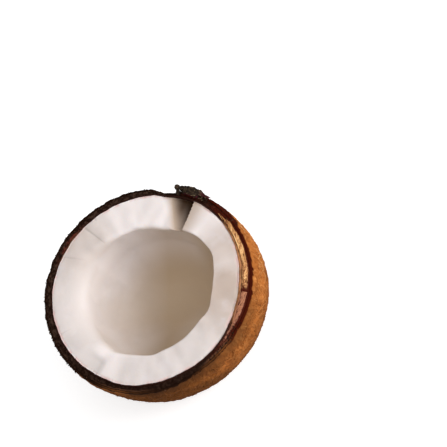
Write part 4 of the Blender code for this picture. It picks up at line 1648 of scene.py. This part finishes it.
@dataclass
class EdgeStrands:
    """Strands of bared fibre that lie side by side across the broken slope of the dip."""

    form: NutForm
    finish: StrandFinish
    name: str = "bared_strands"
    ends: tuple[float, float] = (math.radians(-78.0), math.radians(-8.0))
    full: Stretch = Stretch(1.0, -60.0, -16.0, 14.0)
    gap: tuple[float, float] = (math.radians(-53.0), math.radians(-50.0))
    past_gap: float = math.radians(0.5)
    count: int = 205
    least_share: float = 0.25
    spacing: float = 0.4
    seed: int = 29
    points: int = 6
    radius: float = 0.23 * MM
    thicknesses: tuple[float, float] = (0.6, 1.35)
    tip: float = 0.5
    across_starts: tuple[float, float] = (0.0, 0.3)
    across_ends: tuple[float, float] = (0.55, 0.85)
    across_leans: tuple[float, float] = (0.5, 6.0)
    along_share: float = 0.25
    along_starts: tuple[float, float] = (0.0, 0.75)
    along_widths: tuple[float, float] = (0.0, 0.2)
    along_leans: tuple[float, float] = (7.0, 13.0)
    narrow_end: float = 0.55
    narrow_start: float = 0.5
    narrow_lean: float = 0.3
    shorter: float = 0.3
    lifts: tuple[float, float] = (0.05, 0.3)
    arch: float = 0.3 * MM
    clusters: Ripple = Ripple(0.9, 22.0, 4.0)
    cluster_shade: float = 0.6
    shade_spread: float = 0.2
    brown: Ramp = turn_ramp(-52.0, -54.0)
    dim: float = 0.4
    dimmed: Ramp = turn_ramp(-64.0, -78.0)

    def strand(self, draw: random.Random, angle: float) -> Strand:
        """Draws the strand that starts at this angle."""
        form, narrow = self.form, DIP_NARROWS.of(angle)
        begin = draw.uniform(*self.across_starts)
        finish = draw.uniform(*self.across_ends) * blend(1.0, self.narrow_end, narrow)
        lean = math.radians(draw.uniform(*self.across_leans))
        if draw.random() < self.along_share:
            begin = draw.uniform(*self.along_starts) * blend(1.0, self.narrow_start, narrow)
            finish = begin + draw.uniform(*self.along_widths)
            lean = math.radians(draw.uniform(*self.along_leans)) * blend(1.0, self.narrow_lean, narrow)
        if angle < self.gap[0]:
            lean = min(lean, self.gap[0] + self.past_gap - angle)
            finish -= self.shorter * DIP_WIDENS.of(angle)
        lift = draw.uniform(*self.lifts) * MM
        points = []
        for number in range(self.points):
            share = number / (self.points - 1)
            radius = form.shell_radius - form.shell_wall * (1.0 - blend(begin, finish, share))
            point = form.settled(angle + lean * share, radius, form.rim_height)
            point.z += lift + self.arch * math.sin(math.pi * share)
            points.append(point)
        cluster = self.cluster_shade + self.clusters.at(angle)
        shade = min(1.0, max(0.0, draw.gauss(cluster, self.shade_spread)))
        edge = [self.dim * self.dimmed.of(angle)] * self.points
        # On the bared strands, brown_and_underside_shade holds their own brown.
        brown_and_underside_shade = [self.brown.of(angle)] * self.points
        return Strand(points, self.radius * draw.uniform(*self.thicknesses), self.tip, shade, edge, brown_and_underside_shade)

    def build(self) -> bpy.types.Object:
        """Builds and dresses the strands."""
        draw, strands = random.Random(self.seed), []
        for number in range(self.count):
            place = number + draw.uniform(-self.spacing, self.spacing)
            angle = blend(*self.ends, place / (self.count - 1))
            share = blend(self.least_share, 1.0, self.full.at(angle))
            if draw.random() <= share and not self.gap[0] < angle < self.gap[1]:
                strands.append(self.strand(draw, angle))
        return dressed(strands_mesh(self.name, strands), self.finish.material(), "husk_coat")


@dataclass
class EdgeFringe:
    """Short dark fibres that stick out along the broken edge."""

    form: NutForm
    finish: StrandFinish
    name: str = "edge_fringe"
    count: int = 1500
    seed: int = 31
    points: int = 4
    longer: Hill = Hill(1.0, 150.0, 75.0)
    sparser: Hill = Hill(0.8, 230.0, 50.0)
    dip_from: float = 0.75
    across: tuple[float, float] = (0.25, 1.0)
    sunk: float = 0.3 * MM
    along: tuple[float, float] = (-1.3, 1.3)
    upwards: tuple[float, float] = (0.05, 0.45)
    lengths: tuple[float, float] = (0.6, 1.3)
    length_factors: tuple[float, float] = (0.8, 1.2)
    droop: float = 0.25
    thicknesses: tuple[float, float] = (0.14, 0.34)
    tip: float = 0.4

    def strand(self, draw: random.Random, angle: float) -> Strand:
        """Draws the fibre that is rooted at this angle."""
        form = self.form
        across = draw.uniform(*self.across)
        radius = blend(form.shell_radius - form.shell_wall, form.coat_radius, across)
        root = form.settled(angle, radius, form.rim_height)
        root.z -= self.sunk
        out = draw.uniform(0.0, 1.0) * across
        along = draw.uniform(*self.along)
        way = at(angle, out, draw.uniform(*self.upwards)) + at(angle + math.pi / 2.0, along, 0.0)
        length = draw.uniform(*self.lengths) * MM * blend(*self.length_factors, self.longer.at(angle))
        bend = Vector((0.0, 0.0, -self.droop * length))
        points = bent_path(root, way.normalized() * length, bend, self.points)
        dark = [0.0] * self.points
        return Strand(points, draw.uniform(*self.thicknesses) * MM, self.tip, draw.random() ** 2, dark, dark)

    def build(self) -> bpy.types.Object:
        """Builds and dresses the fringe."""
        form, draw, strands = self.form, random.Random(self.seed), []
        for _ in range(self.count):
            angle = draw.uniform(0.0, math.tau)
            broken = form.flake(angle) > 0.0 or form.dip_share(angle) > self.dip_from
            if not broken and draw.random() >= self.sparser.at(angle):
                strands.append(self.strand(draw, angle))
        return dressed(strands_mesh(self.name, strands), self.finish.material(), "husk_coat")


@dataclass(frozen=True)
class TuftFinish:
    """Rough dark husk, with beige flecks and a maroon side towards the hollow."""

    dark: Colour = (0.014, 0.009, 0.006)
    brown: Colour = (0.055, 0.034, 0.021)
    beige: Colour = (0.20, 0.155, 0.105)
    maroon: Colour = (0.085, 0.010, 0.018)
    coarse: tuple[Grain, tuple[float, float]] = (Grain(420.0, 4.0), (0.42, 0.62))
    fine: tuple[Grain, tuple[float, float]] = (Grain(1500.0, 3.0), (0.65, 0.8))
    roughness: float = 0.9
    gloss: float = 0.1
    relief: float = 0.8 * MM
    fine_share: float = 0.5

    def material(self) -> bpy.types.Material:
        """Makes the material."""
        net = Net("husk_tuft")
        coarse, fine = net.noise(self.coarse[0]), net.noise(self.fine[0])
        colour = net.mixed(coarse.rising(*self.coarse[1]), self.dark, self.brown)
        colour = net.mixed(fine.rising(*self.fine[1]), colour, self.beige)
        colour = net.mixed(net.mask("maroon"), colour, self.maroon)
        normal = net.bumped(coarse + fine * self.fine_share, self.relief)
        return net.matt(colour, self.roughness, self.gloss, normal)


@dataclass
class Tuft:
    """The tuft of husk that stayed on the edge: a rough clump with a knot, and stiff fibres in it."""

    form: NutForm
    finish: TuftFinish
    fibre_finish: StrandFinish
    ends: tuple[float, float] = (math.radians(7.0), math.radians(27.0))
    height: float = 2.0 * MM
    hang: float = 4.0 * MM
    proud: float = 1.0 * MM
    section: tuple[tuple[float, float], ...] = ((0.7, -0.8), (1.0, 0.0), (0.2, 0.8))
    inside_rise: float = 0.6
    inner_radius: float = 50.5 * MM
    shoulder: float = 1.0 * MM
    relief: float = 0.4 * MM
    steps: int = 60
    low: tuple[float, float] = (0.4, 0.1)
    lower_at: Ramp = Ramp(0.12, 0.24)
    high: float = 1.45
    step: Ramp = Ramp(0.29, 0.33)
    falls: tuple[tuple[float, Ramp], ...] = ((0.5, Ramp(0.5, 0.75)), (0.6, Ramp(0.78, 0.88)))
    end_size: float = 0.35
    end: Ramp = Ramp(0.0, 0.22)
    roughness: float = 0.7 * MM
    lumps: tuple[tuple[float, float], ...] = ((1.0, 1.5 * MM), (0.6, 0.7 * MM), (0.35, 0.35 * MM))
    lump_level: float = 0.5
    lump_height: float = 0.8
    lump_at_tail: float = 0.35
    lump_depth: float = 0.5 * MM
    skin: float = 0.01 * MM
    knot_radius: float = 1.5 * MM
    knot_back: float = math.radians(0.8)
    knot_out: float = 0.6 * MM
    knot_up: float = 1.0 * MM
    knot_balls: tuple[tuple[float, float], ...] = ((1.0, 0.95), (0.62, 0.62), (0.3, 0.7), (0.05, 0.85))
    knot_lumps: float = 0.14
    maroon_in: Ramp = Ramp(1.6 * MM, 0.3 * MM)
    maroon_at: Stretch = Stretch(1.0, 12.0, 20.0, 3.0)
    maroon_low: Ramp = Ramp(2.4 * MM, 1.2 * MM)
    maroon_tail: float = 0.55
    maroon_tail_at: Ramp = turn_ramp(13.5, 12.0)
    fibres: int = 110
    fibre_points: int = 5
    seed: int = 7
    inside_share: float = 0.5
    roots: tuple[float, float] = (0.3 * MM, 0.5 * MM)
    root_heights: tuple[float, float] = (0.5, 0.95)
    leans_in: tuple[float, float] = (-0.9, 0.2)
    leans_out: tuple[float, float] = (-0.2, 1.1)
    leans_along: tuple[float, float] = (-1.5, 1.5)
    lengths: tuple[float, float] = (0.6, 1.5)
    least_length: float = 0.4
    bend: tuple[float, float] = (0.3, -0.2)
    thicknesses: tuple[float, float] = (0.12, 0.36)
    tip: float = 0.4

    @property
    def outer_radius(self) -> float:
        """Radius at which the clump hooks over the edge."""
        return self.form.coat_radius + self.relief + self.form.gap

    def hump(self, share: float) -> float:
        """How high the clump stands at this share of its length, as a factor."""
        low = blend(*self.low, self.lower_at.of(share))
        fallen = sum(fall * ramp.of(share) for fall, ramp in self.falls)
        return blend(low, self.high, self.step.of(share)) - fallen

    def profile(self) -> list[tuple[float, float]]:
        """Radius and height of the clump's section, all round."""
        top, inner, outer = self.form.rim_height, self.inner_radius, self.outer_radius
        bottom = top + self.form.gap
        points = [(inner, bottom), (outer, bottom), (outer, top - self.hang)]
        for proud, rise in self.section:
            reach = self.hang if rise < 0.0 else self.height
            points.append((outer + proud * self.proud, top + rise * reach))
        points.append((inner + self.shoulder, top + self.height))
        points.append((inner, top + self.inside_rise * self.height))
        return points

    def rough(self, place: Vector) -> float:
        """Lumps of the clump at this place, about -1 to 1."""
        return sum(height * noise.noise(place / size) for height, size in self.lumps)

    def shaped(self, place: Vector) -> Vector:
        """A point of the plain clump, moved to the clump's own rough form."""
        bottom, outer = self.form.rim_height + self.form.gap, self.outer_radius
        radius, angle, height = math.hypot(place.x, place.y), math.atan2(place.y, place.x), place.z
        share = between(angle, *self.ends)
        step = self.step.of(share)
        size = blend(self.end_size, 1.0, min(self.end.of(min(share, 1.0 - share)), step))
        lump = self.roughness * max(0.0, self.lump_level + self.lump_height * self.rough(place))
        lump *= blend(self.lump_at_tail, 1.0, step)
        if radius > outer + self.skin:
            radius += lump * between(radius, outer, outer + self.lump_depth)
        if height > bottom + self.skin:
            lump *= between(height, bottom, bottom + self.lump_depth)
            height = bottom + (height - bottom) * self.hump(share) + lump
        else:
            height = bottom + (height - bottom) * size
        return self.form.placed(angle, outer + (radius - outer) * size, height)

    def maroon(self, place: Vector) -> float:
        """How maroon the clump is at this place, from 0 to 1."""
        angle = math.atan2(place.y, place.x)
        inner = self.form.placed(angle, self.inner_radius, self.form.rim_height)
        towards = self.maroon_in.of(math.hypot(place.x, place.y) - math.hypot(inner.x, inner.y))
        side = towards * self.maroon_at.at(angle) * self.maroon_low.of(place.z - self.form.rim_height)
        return max(side, self.maroon_tail * self.maroon_tail_at.of(angle))

    def clump(self) -> bpy.types.Object:
        """Builds the clump and its knot as one rough mesh."""
        form, (start, end), shape = self.form, self.ends, bmesh.new()
        corners = [shape.verts.new(at(start, radius, height)) for radius, height in self.profile()]
        bmesh.ops.spin(
            shape,
            geom=[shape.faces.new(corners)],
            cent=(0.0, 0.0, 0.0),
            axis=(0.0, 0.0, 1.0),
            angle=end - start,
            steps=self.steps,
        )
        bmesh.ops.subdivide_edges(shape, edges=shape.edges, cuts=2, use_grid_fill=True)
        bmesh.ops.triangulate(shape, faces=[face for face in shape.faces if len(face.verts) > 4])
        bmesh.ops.recalc_face_normals(shape, faces=shape.faces)
        for vertex in shape.verts:
            vertex.co = self.shaped(vertex.co)
        for share, size in self.knot_balls:
            ball = bmesh.ops.create_icosphere(shape, subdivisions=4, radius=size * self.knot_radius)["verts"]
            radius = self.inner_radius + share * (self.knot_radius + self.knot_out)
            top = form.rim_height + share * (self.height + self.knot_up)
            middle = form.placed(end - self.knot_back, radius, top)
            for vertex in ball:
                vertex.co = middle + vertex.co * (1.0 + self.knot_lumps * self.rough(vertex.co + middle))
        mesh = mesh_of("tuft_clump", shape)
        mark(mesh, {"maroon": [self.maroon(vertex.co) for vertex in mesh.vertices]})
        return added("tuft_clump", mesh)

    def fibre(self, draw: random.Random, share: float) -> Strand:
        """Draws the stiff fibre that is rooted at this share of the clump's length."""
        form, angle, hump = self.form, blend(*self.ends, share), self.hump(share)
        inside = draw.random() < self.inside_share
        inner, outer = self.roots
        root_radius = draw.uniform(self.inner_radius + inner, self.outer_radius + outer)
        top = form.rim_height + blend(*self.root_heights, draw.random()) * self.height * hump
        root = form.placed(angle, root_radius, top)
        outwards = at(angle, draw.uniform(*(self.leans_in if inside else self.leans_out)), 1.0)
        along = at(angle + math.pi / 2.0, draw.uniform(*self.leans_along), 0.0)
        length = draw.uniform(*self.lengths) * MM * blend(self.least_length, 1.0, hump)
        sideways, up = self.bend
        bend = at(draw.uniform(0.0, math.tau), sideways * length, up * length)
        points = bent_path(root, (outwards + along).normalized() * length, bend, self.fibre_points)
        dark = [0.0] * self.fibre_points
        return Strand(points, draw.uniform(*self.thicknesses) * MM, self.tip, draw.random(), dark, dark)

    def tuft_fibres(self) -> bpy.types.Object:
        """Builds the stiff fibres, rooted in the clump at uneven angles."""
        draw = random.Random(self.seed)
        strands = [self.fibre(draw, (number + draw.random()) / self.fibres) for number in range(self.fibres)]
        return strands_mesh("tuft_fibres", strands)

    def build(self) -> None:
        """Builds and dresses the tuft."""
        dressed(self.clump(), self.finish.material(), "husk_tuft", "husk_tuft")
        dressed(self.tuft_fibres(), self.fibre_finish.material(), "husk_tuft")


@dataclass(frozen=True)
class PhotoCamera:
    """The camera, where the photograph was taken from.

    Attributes:
        tilt: How far the view is tilted from straight down.
        roll: How far the picture is turned.
        distance: Distance from the cut face's middle to the camera's own plane.
        offset: Where the cut face's middle lies in the picture, from its middle, in pixels.
        lens: Focal length in millimetres.
        sensor: Width of the sensor in millimetres.
    """

    tilt: float = math.radians(31.0)
    roll: float = math.radians(-48.0)
    distance: float = 537.0 * MM
    offset: tuple[float, float] = (-78.8, 63.4)
    lens: float = 90.0
    sensor: float = 36.0

    def axes(self) -> tuple[Vector, Vector, Vector]:
        """The camera's right, up and back, in the frame."""
        back = Vector((0.0, -math.sin(self.tilt), math.cos(self.tilt)))
        level_up = Vector((0.0, math.cos(self.tilt), math.sin(self.tilt)))
        level_right = Vector((1.0, 0.0, 0.0))
        right = math.cos(self.roll) * level_right + math.sin(self.roll) * level_up
        up = math.cos(self.roll) * level_up - math.sin(self.roll) * level_right
        return right, up, back

    def build(self, target: Vector) -> bpy.types.Object:
        """Builds the camera, with target in its place in the picture."""
        right, up, back = self.axes()
        pixels = PHOTO_SIDE * self.lens / self.sensor
        across = self.offset[0] * self.distance / pixels
        upwards = -self.offset[1] * self.distance / pixels
        place = target - (across * right + upwards * up) + self.distance * back
        data = bpy.data.cameras.new("photo_camera")
        data.lens = self.lens
        data.sensor_width = self.sensor
        camera = bpy.data.objects.new("photo_camera", data)
        turn = Matrix((right, up, back)).transposed().to_4x4()
        camera.matrix_world = Matrix.Translation(place) @ turn
        bpy.context.scene.collection.objects.link(camera)
        bpy.context.scene.camera = camera
        return camera


@dataclass(frozen=True)
class Softbox:
    """One soft area light that looks at the half. Its two angles are in degrees, its power in watts."""

    name: str
    azimuth: float
    elevation: float
    distance: float
    size: float
    power: float
    colour: Colour = (1.0, 1.0, 1.0)

    def build(self, target: Vector) -> None:
        """Builds the light, aimed at target."""
        data = bpy.data.lights.new(self.name, "AREA")
        data.shape = "SQUARE"
        data.size = self.size
        data.energy = self.power
        data.color = self.colour
        light = bpy.data.objects.new(self.name, data)
        way = at(math.radians(self.azimuth), math.cos(math.radians(self.elevation)), 0.0)
        way.z = math.sin(math.radians(self.elevation))
        turn = way.to_track_quat("Z", "Y").to_matrix().to_4x4()
        light.matrix_world = Matrix.Translation(target + way * self.distance) @ turn
        bpy.context.scene.collection.objects.link(light)


@dataclass(frozen=True)
class Studio:
    """The plain pale floor and the soft light."""

    floor_side: float = 6.0
    floor_colour: Colour = (0.92, 0.92, 0.92)
    world_strength: float = 0.5
    floor_glow: float = 0.42
    lights: tuple[Softbox, ...] = (
        Softbox("key", -32.0, 23.0, 0.9, 0.5, 6.4),
        Softbox("overhead", -90.0, 72.0, 1.3, 1.4, 6.0),
    )

    def floor(self) -> bpy.types.Object:
        """Builds the floor."""
        shape = bmesh.new()
        bmesh.ops.create_grid(shape, x_segments=1, y_segments=1, size=self.floor_side / 2.0)
        mesh = mesh_of("floor", shape)
        floor = added("floor", mesh)
        net = Net("pale_floor")
        mesh.materials.append(
            net.surface(
                {
                    "Base Color": (*self.floor_colour, 1.0),
                    "Roughness": 0.9,
                    "Specular IOR Level": 0.1,
                    "Emission Color": (1.0, 1.0, 1.0, 1.0),
                    "Emission Strength": self.floor_glow,
                }
            )
        )
        return floor

    def build(self, target: Vector) -> None:
        """Builds the floor, the lights and the world."""
        self.floor()
        for light in self.lights:
            light.build(target)
        world = bpy.data.worlds.new("studio")
        world.use_nodes = True
        sky = world.node_tree.nodes["Background"]
        sky.inputs["Color"].default_value = (1.0, 1.0, 1.0, 1.0)
        sky.inputs["Strength"].default_value = self.world_strength
        bpy.context.scene.world = world
        bpy.context.scene.view_settings.view_transform = "Standard"


def main() -> None:
    """Builds the pieces from the inside out, then the studio."""
    form = NutForm()
    surface = CoatSurface(form)
    matted = StrandFinish("matted_fibre", (0.27, 0.085, 0.019), (0.45, 0.155, 0.035), (0.63, 0.32, 0.120))
    bared = StrandFinish(
        "bared_fibre", (0.21, 0.076, 0.031), (0.52, 0.26, 0.10), (0.72, 0.44, 0.20), brown_and_underside_shade=(0.34, 0.135, 0.08)
    )
    dark = StrandFinish("dark_fibre", (0.010, 0.005, 0.0035), (0.032, 0.014, 0.008), (0.10, 0.050, 0.028))
    mixed = StrandFinish("tuft_fibre", (0.014, 0.009, 0.006), (0.045, 0.031, 0.018), (0.21, 0.155, 0.088))
    Flesh(form).build()
    SeedSkin(form).build()
    Shell(form).build()
    Coat(surface).build()
    MattedFibres(surface, matted).build()
    EdgeStrands(form, bared).build()
    EdgeFringe(form, dark).build()
    Tuft(form, TuftFinish(), mixed).build()
    target = Vector((0.0, 0.0, form.rim_height))
    PhotoCamera().build(target)
    Studio().build(target)


if __name__ == "__main__":
    logging.basicConfig(level=logging.INFO, format="%(message)s")
    main()
